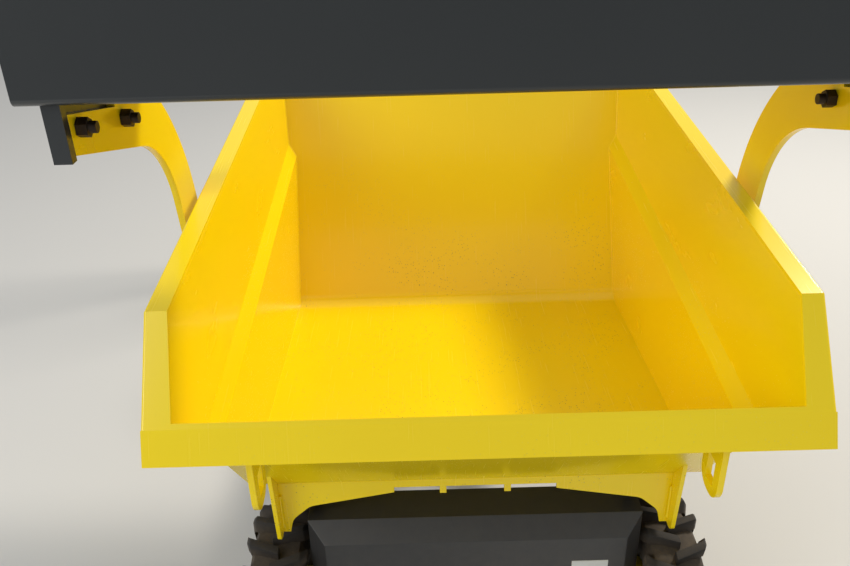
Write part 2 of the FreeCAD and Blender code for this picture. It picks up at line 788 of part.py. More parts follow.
def loader_arms():
    """Two gooseneck plates that reach round the skip's mouth to the shovel."""
    outline = [
        ("loader_pivot_y - arm_half_width", "loader_pivot_z"),
        ("arm_heel_y", "arm_heel_z", "arm_inner_bend"),
        ("arm_front_y", "arm_front_low"),
        ("arm_front_y", "arm_corner_z"),
        ("arm_corner_y", "arm_corner_z", "arm_outer_bend"),
        ("loader_pivot_y + arm_half_width", "loader_pivot_z"),
    ]
    above = [
        ("arm_front_y - 10", "arm_front_high + 2"),
        ("arm_step_y - 8", "arm_step_low"),
        ("arm_step_y", "arm_top_z"),
        ("arm_corner_y", "arm_top_z"),
        ("arm_corner_y", "arm_corner_z + 10"),
        ("arm_front_y - 10", "arm_corner_z + 10"),
    ]
    holes = [
        circle("loader_pivot_y", "loader_pivot_z", "loader_pin + pin_fit"),
        circle("bolt_front_y", "bolt_front_z", "bolt + pin_fit"),
        circle("bolt_rear_y", "bolt_rear_z", "bolt + pin_fit"),
    ]
    for name, side in SIDES:
        arm = Piece("loader_arm_" + name)
        start = low_side(side, "arm_inner", "arm_plate")
        arm.pad("YZ", [outline], start, "arm_plate")
        arm.pad("YZ", [circle("loader_pivot_y", "loader_pivot_z", "arm_disc")], start, "arm_plate")
        arm.pocket("YZ", [above], start, "arm_plate")
        arm.pocket("YZ", holes, start, "arm_plate")


def shovel():
    """The loading shovel, its floor plate upright in front, open above and behind."""
    blade = Piece("shovel")
    outline = [
        ("shovel_front_y", "shovel_low_z", "shovel_heel"),
        ("shovel_back_y", "shovel_low_z"),
        ("shovel_back_y", "shovel_side_z"),
        ("shovel_front_y + shovel_side_top", "shovel_edge_z"),
        ("shovel_front_y", "shovel_edge_z"),
    ]
    blade.pad("YZ", [outline], "-shovel_half", "2 * shovel_half")
    blade.hollow([("0", "shovel_back_y", "(shovel_low_z + shovel_side_z) / 2"),
                  ("0", "(shovel_back_y + shovel_front_y + shovel_side_top) / 2",
                   "(shovel_side_z + shovel_edge_z) / 2"),
                  ("0", "shovel_front_y + shovel_side_top / 2", "shovel_edge_z")], "shovel_sheet")
    edge = rectangle("shovel_front_y + shovel_sheet", "shovel_edge_z - edge_height",
                     "shovel_front_y + edge_plate", "shovel_edge_z")
    blade.pad("YZ", [edge], "-shovel_half + shovel_sheet", "2 * (shovel_half - shovel_sheet)")
    top = "shovel_low_z + shovel_sheet / 2"
    lug = [
        ("lug_front_y", top),
        ("lug_front_y", "arm_front_low + 8"),
        ("bolt_rear_y + lug_back", "bolt_rear_z - lug_back - 5", "lug_bend"),
        ("bolt_rear_y + lug_back", top),
    ]
    flange = rectangle("lug_front_y", "lug_low_z", "arm_front_y - seat_gap", top)
    holes = [
        circle("bolt_front_y", "bolt_front_z", "bolt + pin_fit"),
        circle("bolt_rear_y", "bolt_rear_z", "bolt + pin_fit"),
    ]
    for name, side in SIDES:
        start = low_side(side, "arm_inner + arm_plate", "lug_plate")
        blade.pad("YZ", [lug], start, "lug_plate")
        width = "arm_plate + lug_plate"
        blade.pad("YZ", [flange], low_side(side, "arm_inner", width), width)
        blade.pocket("YZ", holes, start, "lug_plate")


def shovel_bolts():
    """Four bolts and nuts that hold the shovel's lugs to the arms."""
    bolts = Piece("shovel_bolts")
    grip = "arm_plate + lug_plate"
    shank_length = grip + " + nut_length + bolt_end"
    for name, side in SIDES:
        for y, z in (("bolt_front_y", "bolt_front_z"), ("bolt_rear_y", "bolt_rear_z")):
            shank_start = low_side(side, "arm_inner - nut_length - bolt_end", shank_length)
            bolts.pad("YZ", [circle(y, z, "bolt")], shank_start, shank_length)
            bolts.pad("YZ", [hexagon(y, z, "bolt_flats")],
                      low_side(side, "arm_inner - nut_length", "nut_length"), "nut_length")
            bolts.pad("YZ", [hexagon(y, z, "bolt_flats")],
                      low_side(side, "arm_inner + " + grip, "bolt_head_length"), "bolt_head_length")


# Front frame

def front_frame():
    """Side members with the tipping pivot's ears, and the cross members between them."""
    outline = [
        ("rail_front_y", "rail_low"),
        ("rail_rear_y", "rail_low"),
        ("rail_rear_y", "rail_top"),
        ("rail_front_y", "rail_top", "rail_bend"),
    ]
    lean = ("ear_boss * sin(ear_lean)", "ear_boss * cos(ear_lean)")
    ear = [
        ("tip_pivot_y - " + lean[0], "tip_pivot_z - " + lean[1]),
        ("tip_pivot_y - %s + ear_slope_length" % lean[0], "rail_top"),
        ("tip_pivot_y + 150", "rail_low + 20", "10"),
        ("tip_pivot_y + ear_back", "rail_low + 20", "10"),
        ("tip_pivot_y + ear_back", "rail_top"),
        ("tip_pivot_y + " + lean[0], "tip_pivot_z + " + lean[1]),
    ]
    rail = Piece("front_rails")
    for name, side in SIDES:
        rail.pad("YZ", [outline], low_side(side, "rail_half", "rail_width"), "rail_width")
        ear_start = low_side(side, "rail_half + rail_width", "ear_plate")
        rail.pad("YZ", [ear], ear_start, "ear_plate")
        rail.pad("YZ", [circle("tip_pivot_y", "tip_pivot_z", "ear_boss")], ear_start, "ear_plate")
        rail.pocket("YZ", [circle("tip_pivot_y", "tip_pivot_z", "tip_pin + pin_fit")],
                    ear_start, "ear_plate")
    cross = Piece("front_cross_members")
    width = "2 * rail_half"
    bar_back = "tip_base_y + base_bar_start + cross_bar"
    cross.pad("YZ", [rectangle("tip_base_y + base_bar_start", "rail_low + 20", bar_back,
                               "rail_top - 20", "6")], "-rail_half", width)
    cross.pad("YZ", [rectangle("rail_front_y + 20", "rail_low + 20", "rail_front_y + 20 + cross_bar",
                               "rail_top - 30", "6")], "-rail_half", width)
    bracket = [
        ("tip_base_y - base_bracket", "tip_base_z - base_bracket", "24"),
        ("tip_base_y + base_bracket", "tip_base_z - base_bracket", "24"),
        (bar_back, "rail_low + 20"),
        ("tip_base_y + base_bar_start", "rail_top - 20"),
        ("tip_base_y - base_bracket", "tip_base_z + base_bracket", "24"),
    ]
    for name, side in SIDES:
        cross.pad("YZ", [bracket], low_side(side, "base_bracket", "tip_lug_plate"), "tip_lug_plate")
    cross.pad("YZ", [circle("tip_base_y", "tip_base_z", "loader_pin")],
              "-base_bracket - 20", "2 * (base_bracket + 20)")


def skip_buffers():
    """Two rubber blocks on the side members that the floor of the skip rests on."""
    rests = Piece("skip_buffers")
    outline = [
        ("buffer_y", "rail_top"),
        ("buffer_y + buffer_length", "rail_top"),
        ("buffer_y + buffer_length", "buffer_z + buffer_length * floor_slope"),
        ("buffer_y", "buffer_z"),
    ]
    for name, side in SIDES:
        rests.pad("YZ", [outline], low_side(side, "rail_half + 6", "rail_width - 12"),
                  "rail_width - 12")


def fork():
    """Headstock at the back of the front frame, with the two lugs of the articulation."""
    head = Piece("articulation_fork")
    block = rectangle("rail_rear_y - fork_block", "rail_low - 60", "rail_rear_y", "rail_top", "6")
    head.pad("YZ", [block], "-rail_half", "2 * rail_half")
    lug = [
        ("-fork_half - fork_flare", "rail_rear_y"),
        ("fork_half + fork_flare", "rail_rear_y"),
        ("fork_half", "hinge_y"),
        ("-fork_half", "hinge_y"),
    ]
    for level in ("fork_top_z", "fork_low_z"):
        head.pad("XY", [lug], level, "fork_plate")
        head.pad("XY", [circle("0", "hinge_y", "fork_half")], level, "fork_plate")
        head.pocket("XY", [circle("0", "hinge_y", "hinge_pin + pin_fit")], level, "fork_plate")
    hanger = rectangle("steer_eye_x - steer_half", "rail_rear_y - fork_block",
                       "steer_eye_x + steer_half", "rail_rear_y")
    head.pad("XY", [hanger], "steer_z - steer_gap - steer_plate",
             "rail_low - 60 - steer_z + steer_gap + steer_plate")
    steer_lug = [
        ("steer_eye_x - steer_half", "rail_rear_y"),
        ("steer_eye_x + steer_half", "rail_rear_y"),
        ("steer_eye_x + 20", "steer_eye_y + 20", "16"),
        ("steer_eye_x - 20", "steer_eye_y + 20", "16"),
    ]
    for level in ("steer_z + steer_gap", "steer_z - steer_gap - steer_plate"):
        head.pad("XY", [steer_lug], level, "steer_plate")


def hinge_pin():
    """The upright pin that joins the two frames."""
    pin = Piece("articulation_pin")
    pin.pad("XY", [circle("0", "hinge_y", "hinge_pin")], "fork_low_z - 6",
            "fork_gap + 2 * fork_plate + 6")
    pin.pad("XY", [circle("0", "hinge_y", "hinge_head")],
            "fork_top_z + fork_plate", "hinge_head_length")


def front_bumper():
    """The dark box under the lip: a flat top, a bevel and an upright face."""
    box = Piece("front_bumper")
    outline = [
        ("rail_front_y", "box_top"),
        ("box_front_y", "box_top"),
        ("box_face_y", "box_top - box_bevel"),
        ("box_face_y", "box_low + box_under"),
        ("box_face_y + box_under", "box_low"),
        ("rail_front_y", "box_low"),
    ]
    inside = [
        ("rail_front_y + 1", "box_top - box_wall"),
        ("box_front_y + 5", "box_top - box_wall"),
        ("box_face_y + box_wall", "box_top - box_bevel - 5"),
        ("box_face_y + box_wall", "box_low + box_under + 5"),
        ("box_face_y + box_under + 5", "box_low + box_wall"),
        ("rail_front_y + 1", "box_low + box_wall"),
    ]
    box.pad("YZ", [outline], "-box_half", "2 * box_half")
    box.pocket("YZ", [inside], "-box_half + box_corner + box_wall",
               "2 * (box_half - box_corner - box_wall)")
    for name, side in SIDES:
        corner = [
            ("box_half - box_corner", "box_face_y"),
            ("box_half + 10", "box_face_y + box_corner + 10"),
            ("box_half + 10", "box_face_y - 10"),
            ("box_half - box_corner", "box_face_y - 10"),
        ]
        box.pocket("XY", [mirrored(side, corner)], "box_low - 10", "box_top - box_low + 20")


def axles():
    """The two axles with their wheel motors, under hangers in front and saddles behind."""
    front = Piece("front_axle")
    hanger = [
        ("hanger_front_y", "hanger_low", "30"),
        ("hanger_rear_y", "hanger_low", "30"),
        ("hanger_rear_y", "rail_low"),
        ("rail_front_y", "rail_low"),
        ("rail_front_y", "hanger_step"),
        ("hanger_front_y", "hanger_step", "30"),
    ]
    rear = Piece("rear_axle")
    saddle = rectangle("rear_axle_y - saddle", "tyre_radius", "rear_axle_y + saddle", "rail_low")
    # Axle, its place along Y, what carries it, where that starts along X
    rows = [
        (front, "front_axle_y", hanger, "rail_half"),
        (rear, "rear_axle_y", saddle, "rear_rail_half"),
    ]
    for axle, axle_y, carrier, inner in rows:
        axle.pad("YZ", [circle(axle_y, "tyre_radius", "axle_tube")], "-hub_end", "2 * hub_end")
        axle.pad("YZ", [circle(axle_y, "tyre_radius", "axle_case")], "-axle_case", "2 * axle_case")
        for name, side in SIDES:
            axle.pad("YZ", [carrier], low_side(side, inner, "rail_width"), "rail_width")
            housing = circle(axle_y, "tyre_radius", "hub_radius")
            axle.pad("YZ", [housing], low_side(side, "hub_end - hub_length", "hub_length"),
                     "hub_length")


# Wheels: name, side, axle place
WHEELS = [
    ("front_left", -1, "front_axle_y"),
    ("front_right", 1, "front_axle_y"),
    ("rear_left", -1, "rear_axle_y"),
    ("rear_right", 1, "rear_axle_y"),
]
# Half of the tyre's section: place along the axle, radius
TYRE_SECTION = [
    ("tyre_shoulder", "bead_radius + 7"),
    ("tyre_half", "tyre_belly"),
    ("tyre_shoulder", "tread_radius"),
]
TYRE_SIDES = 40
LUGS_A_SIDE = 20


def wheel_forms():
    """One tyre with its lugs and one rim, each about its own origin with the axle along X."""
    tyre = Piece("tyre_form")
    section = [("-" + x, radius) for x, radius in TYRE_SECTION]
    section += list(reversed(TYRE_SECTION))
    step = tyre.body.newObject("PartDesign::AdditiveLoft", "TyreLoft")
    rings = [tyre.sketch("YZ", [ring(radius, TYRE_SIDES)], x) for x, radius in section]
    step.Profile = rings[0]
    step.Sections = rings[1:]
    step.Ruled = True
    tyre.settle(step)
    pitch = 360.0 / LUGS_A_SIDE
    for side, turn in ((1, 0), (-1, pitch / 2)):
        lugs = []
        for number in range(LUGS_A_SIDE):
            angle = number * pitch + turn
            along = ("cos(%s)" % angle, "sin(%s)" % angle)
            lugs.append([
                ("%s * %s - %s * %s" % (out, along[0], half, along[1]),
                 "%s * %s + %s * %s" % (out, along[1], half, along[0]))
                for out, half in (("lug_root", "-lug_half"), ("tyre_radius", "-lug_half"),
                                  ("tyre_radius", "lug_half"), ("lug_root", "lug_half"))])
        width = "lug_end + lug_overlap"
        start = "-lug_overlap" if side > 0 else "-lug_end"
        tyre.pad("YZ", lugs, start, width)
    tyre.pocket("YZ", [circle("0", "0", "bead_radius")], "-tyre_half - 5", "2 * tyre_half + 10")
    rim = Piece("rim_form")
    bead = "bead_radius - seat_gap"
    hub_face = "-(wheel_mid - hub_end - seat_gap)"
    profile = [
        ("-disc_offset - rim_plate", "0"),
        ("-disc_offset - rim_plate", "rim_hole"),
        (hub_face, "rim_hole"),
        (hub_face, "hub_radius + 4"),
        ("-disc_offset - rim_plate", "hub_radius + 4"),
        ("-disc_offset - rim_plate", "bead_radius - rim_well"),
        ("-tyre_half + 5", "bead_radius - rim_well"),
        ("-tyre_half + 5", bead),
        ("tyre_half - 5", bead),
        ("tyre_half - 5", "bead_radius - rim_well"),
        ("-disc_offset + rim_plate", "bead_radius - rim_well"),
        ("-disc_offset", "rim_hole + 12"),
        ("-disc_offset + rim_cap", "rim_hole"),
        ("-disc_offset + rim_cap", "0"),
    ]
    rim.spin("XZ", [profile], ("0", "0"), "0", "H_Axis")
    for form in (tyre, rim):
        nodes.remove(form.body)
    return tyre.body, rim.body


def wheels():
    """The four wheels: each tyre and rim is the same form, turned to its side."""
    tyre, rim = wheel_forms()
    for name, side, axle_y in WHEELS:
        for kind, form in (("tyre_", tyre), ("rim_", rim)):
            wheel = doc.addObject("Part::Compound", kind + name)
            wheel.Label = kind + name
            wheel.Links = [form]
            turn = FreeCAD.Rotation(FreeCAD.Vector(0, 0, 1), 0 if side > 0 else 180)
            wheel.Placement = FreeCAD.Placement(FreeCAD.Vector(), turn)
            wheel.setExpression("Placement.Base.x", bound("%d * wheel_mid" % side))
            wheel.setExpression("Placement.Base.y", bound(axle_y))
            wheel.setExpression("Placement.Base.z", bound("tyre_radius"))
            nodes.append(wheel)


# Hydraulic cylinders: each is drawn from its base eye along its own +Y. Lengths of barrel and
# rod, radii of barrel, rod, base pin and rod pin, half widths of the eyes, reach of the rod's
# pin to each side, and the place
def cylinder(name, length, barrel_length, rod_back, bore_back, barrel_radius, rod_radius,
             eye_half, pin_radius, pin_reach, place, plane="YZ"):
    """A barrel with its base eye and gland, and a rod with its eye and cross pin."""
    flat = "XZ"
    barrel = Piece(name + "_barrel")
    barrel.pad(flat, [circle("0", "0", barrel_radius)], "barrel_start",
               "(%s) - barrel_start" % barrel_length)
    barrel.pad(flat, [circle("0", "0", "%s + gland_step" % barrel_radius)],
               "(%s) - gland_length" % barrel_length, "gland_length")
    barrel.pad(plane, [circle("0", "0", "base_eye")], "-" + eye_half, "2 * " + eye_half)
    neck = rectangle("-neck_half", "-neck_half", "neck_half", "neck_half")
    barrel.pad(flat, [neck], "neck_start", "barrel_start - neck_start + 4")
    barrel.pocket(plane, [circle("0", "0", "%s + pin_fit" % pin_radius)],
                  "-base_eye - 10", "2 * base_eye + 20")
    barrel.pocket(flat, [circle("0", "0", "%s + pin_fit" % rod_radius)],
                  "%s - %s" % (rod_back, bore_back), "(%s) + 300" % barrel_length)
    barrel.place(*place)
    rod = Piece(name + "_rod")
    rod.pad(flat, [circle("0", "0", rod_radius)], rod_back,
            "(%s) - %s - rod_neck" % (length, rod_back))
    along = (length, "0") if plane == "YZ" else ("0", length)
    rod.pad(plane, [circle(along[0], along[1], "rod_eye")], "-" + eye_half, "2 * " + eye_half)
    rod.pad(plane, [circle(along[0], along[1], pin_radius)], "-(%s)" % pin_reach[0],
            "(%s) + (%s)" % pin_reach)
    rod.place(*place)


def cylinders():
    """Tipping, lifting and steering cylinders."""
    tip_angle = "180 - atan2(tip_eye_z - tip_base_z; tip_base_y - tip_eye_y) / 1 deg"
    tip_pin_reach = "tip_lug_inner - 0.5"
    cylinder("tip", "tip_length", "460", "150", "4", "40", "20", "19", "loader_pin",
             (tip_pin_reach, tip_pin_reach),
             ("0", "tip_base_y", "tip_base_z", (1, 0, 0), tip_angle))
    lift_angle = "180 + atan2(lift_base_z - lift_eye_z; lift_base_y - lift_eye_y) / 1 deg"
    outer, inner = ("arm_inner - lift_mid - 0.5", "20")
    for name, side in SIDES:
        halves = (inner, outer) if side > 0 else (outer, inner)
        cylinder("lift_" + name, "lift_length", "378", "215", "120", "26", "11", "15", "lift_pin",
                 halves, ("%d * lift_mid" % side, "lift_base_y", "lift_base_z", (1, 0, 0), lift_angle))
    steer_angle = "180 + atan2(steer_base_x - steer_eye_x; steer_base_y - steer_eye_y) / -1 deg"
    cylinder("steer", "steer_length", "300", "180", "110", "24", "12", "13", "steer_pin",
             ("13.5", "13.5"),
             ("steer_base_x", "steer_base_y", "steer_z", (0, 0, 1), steer_angle), plane="XY")


# Rear frame and what it carries

def rear_frame():
    """Side members, the tongue of the articulation, and the cross members."""
    outline = rectangle("rear_rail_front_y", "rail_low", "weight_front_y", "rail_top", "5")
    rail = Piece("rear_rails")
    for name, side in SIDES:
        rail.pad("YZ", [outline], low_side(side, "rear_rail_half", "rail_width"), "rail_width")
    head = Piece("articulation_tongue")
    block = rectangle("rear_rail_front_y", "rail_low - 50",
                      "rear_rail_front_y + fork_block", "rail_top", "6")
    head.pad("YZ", [block], "-rear_rail_half", "2 * rear_rail_half")
    tongue = [
        ("-tongue_half", "hinge_y"),
        ("tongue_half", "hinge_y"),
        ("tongue_half + tongue_flare", "rear_rail_front_y"),
        ("-tongue_half - tongue_flare", "rear_rail_front_y"),
    ]
    level = "fork_mid_z - fork_gap / 2 + tongue_play"
    depth = "fork_gap - 2 * tongue_play"
    head.pad("XY", [tongue], level, depth)
    head.pad("XY", [circle("0", "hinge_y", "tongue_half")], level, depth)
    head.pocket("XY", [circle("0", "hinge_y", "hinge_pin + pin_fit")], level, depth)
    cross = Piece("rear_cross_members")
    bar = rectangle("steer_base_y + 36", "rail_low + 10", "steer_base_y + 96", "rail_top - 10", "5")
    cross.pad("YZ", [bar], "-rear_rail_half", "2 * rear_rail_half")
    steer_lug = [
        ("steer_base_x - steer_half", "steer_base_y - steer_plate - 2", "steer_plate"),
        ("steer_base_x + steer_half", "steer_base_y - steer_plate - 2", "steer_plate"),
        ("steer_base_x + steer_half", "steer_base_y + 36"),
        ("steer_base_x - steer_half", "steer_base_y + 36"),
    ]
    hanger = rectangle("steer_base_x - steer_half", "steer_base_y + 36",
                       "steer_base_x + steer_half", "steer_base_y + 86")
    low_level = "steer_z - steer_gap - steer_plate"
    cross.pad("XY", [hanger], low_level, "rail_low + 10 - (%s)" % low_level)
    for low in ("steer_z + steer_gap", low_level):
        cross.pad("XY", [steer_lug], low, "steer_plate")
    cross.pad("XY", [circle("steer_base_x", "steer_base_y", "steer_pin")], low_level,
              "2 * (steer_gap + steer_plate)")
    for y in ("hood_front_y + 70", "hood_rear_y - 130"):
        bar = rectangle(y, "rail_low", "(%s) + 50" % y, "rail_low + 30")
        cross.pad("YZ", [bar], "-rear_rail_half", "2 * rear_rail_half")


def counterweight():
    """The cast block at the back, with its hitch jaw and pin."""
    block = Piece("counterweight")
    outline = [
        ("-weight_half", "weight_low", "weight_bend"),
        ("weight_half", "weight_low", "weight_bend"),
        ("weight_half", "weight_top", "weight_bend"),
        ("-weight_half", "weight_top", "weight_bend"),
    ]
    block.pad("XZ", [outline], "weight_front_y", "weight_depth")
    block.pocket("XZ", [rectangle("-jaw_half", "jaw_low", "jaw_half", "jaw_high")],
                 "rear_end_y - jaw_depth", "jaw_depth")
    block.pocket("XY", [circle("0", "hitch_y", "hitch_radius + pin_fit")], "weight_low - 1",
                 "weight_top - weight_low + 2")
    pin = Piece("hitch_pin")
    pin.pad("XY", [circle("0", "hitch_y", "hitch_radius")], "weight_low + 10",
            "weight_top - weight_low - 8")
    pin.pad("XY", [circle("0", "hitch_y", "hitch_radius + 7")], "weight_top", "8")
    grip = rectangle("-6", "weight_top + 6", "6", "weight_top + 38", "5.5")
    pin.pad("XZ", [grip], "hitch_y - 6", "12")


def tanks():
    """Fuel on the left and oil on the right, outside the side members."""
    for name, side in (("fuel_tank", -1), ("hydraulic_tank", 1)):
        tank = Piece(name)
        outline = rectangle("tank_front_y", "tank_low", "tank_rear_y", "rail_top", "tank_bend")
        inner = "rear_rail_half + rail_width"
        width = "tank_half - rear_rail_half - rail_width"
        tank.pad("YZ", [outline], low_side(side, inner, width), width)


def deck():
    """The operator's floor plate, which also covers the rear wheels."""
    floor = Piece("deck")
    floor.pad("XY", [rectangle("-deck_half", "deck_front_y", "deck_half", "deck_rear_y")],
              "rail_top", "deck_sheet")


def console():
    """Front panel with the steering column, and the levers beside it."""
    panel = Piece("console")
    back = "deck_front_y + console_depth"
    outline = [
        ("deck_front_y + 14", "deck_top"),
        (back, "deck_top"),
        (back, "console_slope_z", "14"),
        (back + " - 40", "console_top", "14"),
        ("deck_front_y + 14", "console_top", "14"),
    ]
    panel.pad("YZ", [outline], "-console_half", "2 * console_half")
    panel.hollow([("0", "deck_front_y + 50", "deck_top")], "hood_sheet")
    boss = [
        ("column_foot_y - column_boss * cos(column_lean)",
         "column_foot_z + column_boss * sin(column_lean)"),
        ("column_foot_y + column_boss * cos(column_lean)",
         "column_foot_z - column_boss * sin(column_lean)"),
        (back + " - 1", "column_foot_z - 2 * column_boss"),
        (back + " - 1", "console_slope_z"),
    ]
    panel.pad("YZ", [boss], "-column_boss", "2 * column_boss")
    lever_y = "deck_front_y + 110"
    box = rectangle("lever_box_x", lever_y, "lever_box_x + lever_box_width",
                    lever_y + " + lever_box_depth", "12")
    panel.pad("XY", [box], "deck_top", "lever_box_height")
    column = Piece("steering_column")
    column.pad("XY", [circle("0", "0", "column_radius")], "-column_length", "column_length - 9.3")
    column.place("0", "column_top_y", "column_top_z", (1, 0, 0), "-column_lean")
    wheel = Piece("hand_wheel")
    wheel.spin("XZ", [[("wheel_ring + (%s)" % point[0], "ring_radius + (%s)" % point[1])
                       for point in ring("ring_radius - 1", 6)]], ("0", "0"), "0", "V_Axis")
    wheel.pad("XY", [circle("0", "0", "30")], "-9", "26")
    wheel.pad("XY", [rectangle("-wheel_ring", "-spoke_half", "wheel_ring", "spoke_half")], "4", "9")
    wheel.pad("XY", [rectangle("-spoke_half", "0", "spoke_half", "wheel_ring")], "4", "9")
    wheel.place("0", "column_top_y", "column_top_z", (1, 0, 0), "-column_lean")
    levers = Piece("control_levers")
    for x in spots("40", 3, "lever_box_x + 30"):
        stem_y = lever_y + " + lever_box_depth / 2"
        levers.pad("XY", [circle(x, stem_y, "7")], "deck_top + lever_box_height", "lever_length")
        levers.pad("XY", [circle(x, stem_y, "16")],
                   "deck_top + lever_box_height + lever_length", "lever_grip")


def seat():
    """Seat box with its cushion and backrest."""
    box = Piece("seat_box")
    box.pad("XY", [rectangle("-seat_half - 20", "seat_front_y", "seat_half + 20", "seat_rear_y", "20")],
            "deck_top", "seat_box_top - deck_top")
    box.hollow([("0", "(seat_front_y + seat_rear_y) / 2", "deck_top")], "hood_sheet")
    cushion = Piece("seat_cushion")
    cushion.pad("XY", [rectangle("-seat_half", "seat_front_y + 6", "seat_half",
                                 "seat_rear_y - back_thick - 8", "40")],
                "seat_box_top + seat_gap", "cushion_thick")
    back = Piece("seat_backrest")
    back.pad("XZ", [rectangle("-seat_half + 10", "seat_box_top + seat_gap",
                              "seat_half - 10", "cushion_top + back_height", "50")],
             "seat_rear_y - back_thick - 4", "back_thick")


def slots(piece, plane, along_low, start, depth, first, count):
    """A row of level louvre slots cut through a panel."""
    holes = [rectangle(along_low, z, along_low + " + slot_length", "(%s) + slot_high_z" % z)
             for z in spots("slot_pitch", count, first)]
    piece.pocket(plane, holes, start, depth)


def hood():
    """Engine bay panels with the lid that lifts off them, the engine and the rear grille."""
    engine = Piece("engine_block")
    engine.pad("XY", [rectangle("-engine_half", "hood_front_y + 28", "engine_half",
                                "hood_rear_y - 40")], "rail_low + 30", "engine_height")
    bay = Piece("engine_bay")
    bay.pad("XY", [rectangle("-hood_half", "hood_front_y", "hood_half", "hood_rear_y")],
            "rail_top", "bay_top - rail_top")
    bay.pocket("XY", [rectangle("-hood_half + hood_sheet", "hood_front_y + hood_sheet",
                                "hood_half - hood_sheet", "hood_rear_y - hood_sheet")],
               "rail_top - 1", "bay_top - rail_top + 2")
    side_slot_y = "(hood_front_y + hood_rear_y - slot_length) / 2"
    through = "hood_sheet + 2"
    leaf = [
        ("hood_rear_y", "weight_top + 4"),
        ("hood_rear_y", "bay_top - 2"),
        ("hinge_line_y - 7", "hinge_line_z - 7"),
        ("hinge_line_y - 7", "hinge_line_z + 5"),
        ("hinge_line_y + 5", "hinge_line_z + 7"),
        ("hinge_line_y + 8", "hinge_line_z + 2"),
        ("hinge_line_y + 8", "weight_top + 4"),
    ]
    knuckle = [
        ("hood_rear_y - hood_sheet / 2", "bay_top + 4"),
        ("hinge_line_y", "hinge_line_z - knuckle"),
        ("hinge_line_y", "hinge_line_z + knuckle"),
        ("hood_rear_y - hood_sheet / 2", "bay_top + 34"),
    ]
    for name, side in SIDES:
        bay.pad("YZ", [leaf], low_side(side, "176", "4"), "4")
        bay.pad("YZ", [circle("hinge_line_y", "hinge_line_z", "knuckle_pin")],
                low_side(side, "180", "22"), "22")
        slots(bay, "YZ", side_slot_y, low_side(side, "hood_half - hood_sheet - 1", through),
              through, "rail_top + 38", 4)
    lid = Piece("engine_hood")
    outline = [
        ("hood_front_y", "bay_top + seat_gap"),
        ("hood_rear_y", "bay_top + seat_gap"),
        ("hood_rear_y", "hood_top - 70", "hood_bend"),
        ("hood_rear_y - 70", "hood_top", "hood_bend"),
        ("hood_front_y", "hood_top", "20"),
    ]
    lid.pad("YZ", [outline], "-hood_half", "2 * hood_half")
    lid.hollow([("0", "(hood_front_y + hood_rear_y) / 2", "bay_top")], "hood_sheet")
    for name, side in SIDES:
        start = low_side(side, "184", "12")
        lid.pad("YZ", [knuckle], start, "12")
        lid.pad("YZ", [circle("hinge_line_y", "hinge_line_z", "knuckle")], start, "12")
        lid.pocket("YZ", [circle("hinge_line_y", "hinge_line_z", "knuckle_pin + pin_fit")],
                   start, "12")
        slots(lid, "YZ", side_slot_y, low_side(side, "hood_half - hood_sheet - 1", through),
              through, "bay_top + 50", 6)
    slots(lid, "XZ", "-slot_length / 2", "hood_rear_y - hood_sheet - 1", through,
          "bay_top + 56", 5)


def rops():
    """The roll-over hoop behind the seat, with its lamps and beacon."""
    hoop = Piece("rops_hoop")
    inner = "rops_half - rops_tube"
    foot_top = "deck_top + rops_foot_plate"
    outline = [
        ("-rops_half", "deck_top"),
        ("-rops_half", "rops_top", "90"),
        ("rops_half", "rops_top", "90"),
        ("rops_half", "deck_top"),
        (inner, "deck_top"),
        (inner, "rops_top - rops_tube", "34"),
        ("-(%s)" % inner, "rops_top - rops_tube", "34"),
        ("-(%s)" % inner, "deck_top"),
    ]
    hoop.pad("XZ", [outline], "rops_y - rops_depth / 2", "rops_depth")
    for name, side in SIDES:
        foot = rectangle(inner + " - rops_foot", "deck_top", "rops_half + rops_foot", foot_top)
        hoop.pad("XZ", [mirrored(side, foot)], "rops_y - rops_depth / 2 - rops_foot",
                 "rops_depth + 2 * rops_foot")
    lamps = Piece("lamps")
    # Lamp, its inner place, low edge, width, height, front place, depth and corner
    rows = [
        ("work", "lamp_inner", "rops_top - rops_tube - lamp_height", "lamp_width", "lamp_height",
         "rops_y - 45", "lamp_depth", "14"),
        ("tail", "tail_inner", "weight_top", "tail_width", "tail_height",
         "rear_end_y - 50", "40", "8"),
    ]
    for name, side in SIDES:
        for lamp, x, z, width, height, y, depth, corner in rows:
            outline = rectangle(x, z, "%s + %s" % (x, width), "(%s) + %s" % (z, height), corner)
            lamps.pad("XZ", [mirrored(side, outline)], y, depth)
    beacon = Piece("beacon")
    beacon.pad("XY", [circle("0", "rops_y", "30")], "rops_top", "beacon_foot")
    beacon.pad("XY", [circle("0", "rops_y", "beacon_radius")], "rops_top + beacon_foot",
               "beacon_height")


def exhaust():
    """The silencer beside the engine bay, with its pipe to the rear."""
    pipe = Piece("exhaust")
    x = "rear_rail_half + rail_width + muffler_radius + seat_gap"
    z = "rail_low + 54"
    pipe.pad("XZ", [circle(x, z, "muffler_radius")], "hood_front_y + 30", "muffler_length")
    pipe.pad("XZ", [circle(x, z, "tailpipe")], "hood_front_y + 30 + muffler_length", "60")


skip_pan()
skip_rim()
skip_legs()
skip_arch_plate()
lashing_eyes()
tip_pins()
loader_brackets()
loader_arms()
shovel()
shovel_bolts()
front_frame()
skip_buffers()
fork()
hinge_pin()
front_bumper()
axles()
wheels()
cylinders()
rear_frame()
counterweight()
tanks()
deck()
console()
seat()
hood()
rops()
exhaust()

doc.recompute()
for item in doc.Objects:
    if "Invalid" in item.State or "Error" in item.State:
        raise RuntimeError(item.Label + " is not built")
for node in nodes:
    if node.Shape.isNull() or not node.Shape.isValid():
        raise RuntimeError(node.Label + " has no valid shape")

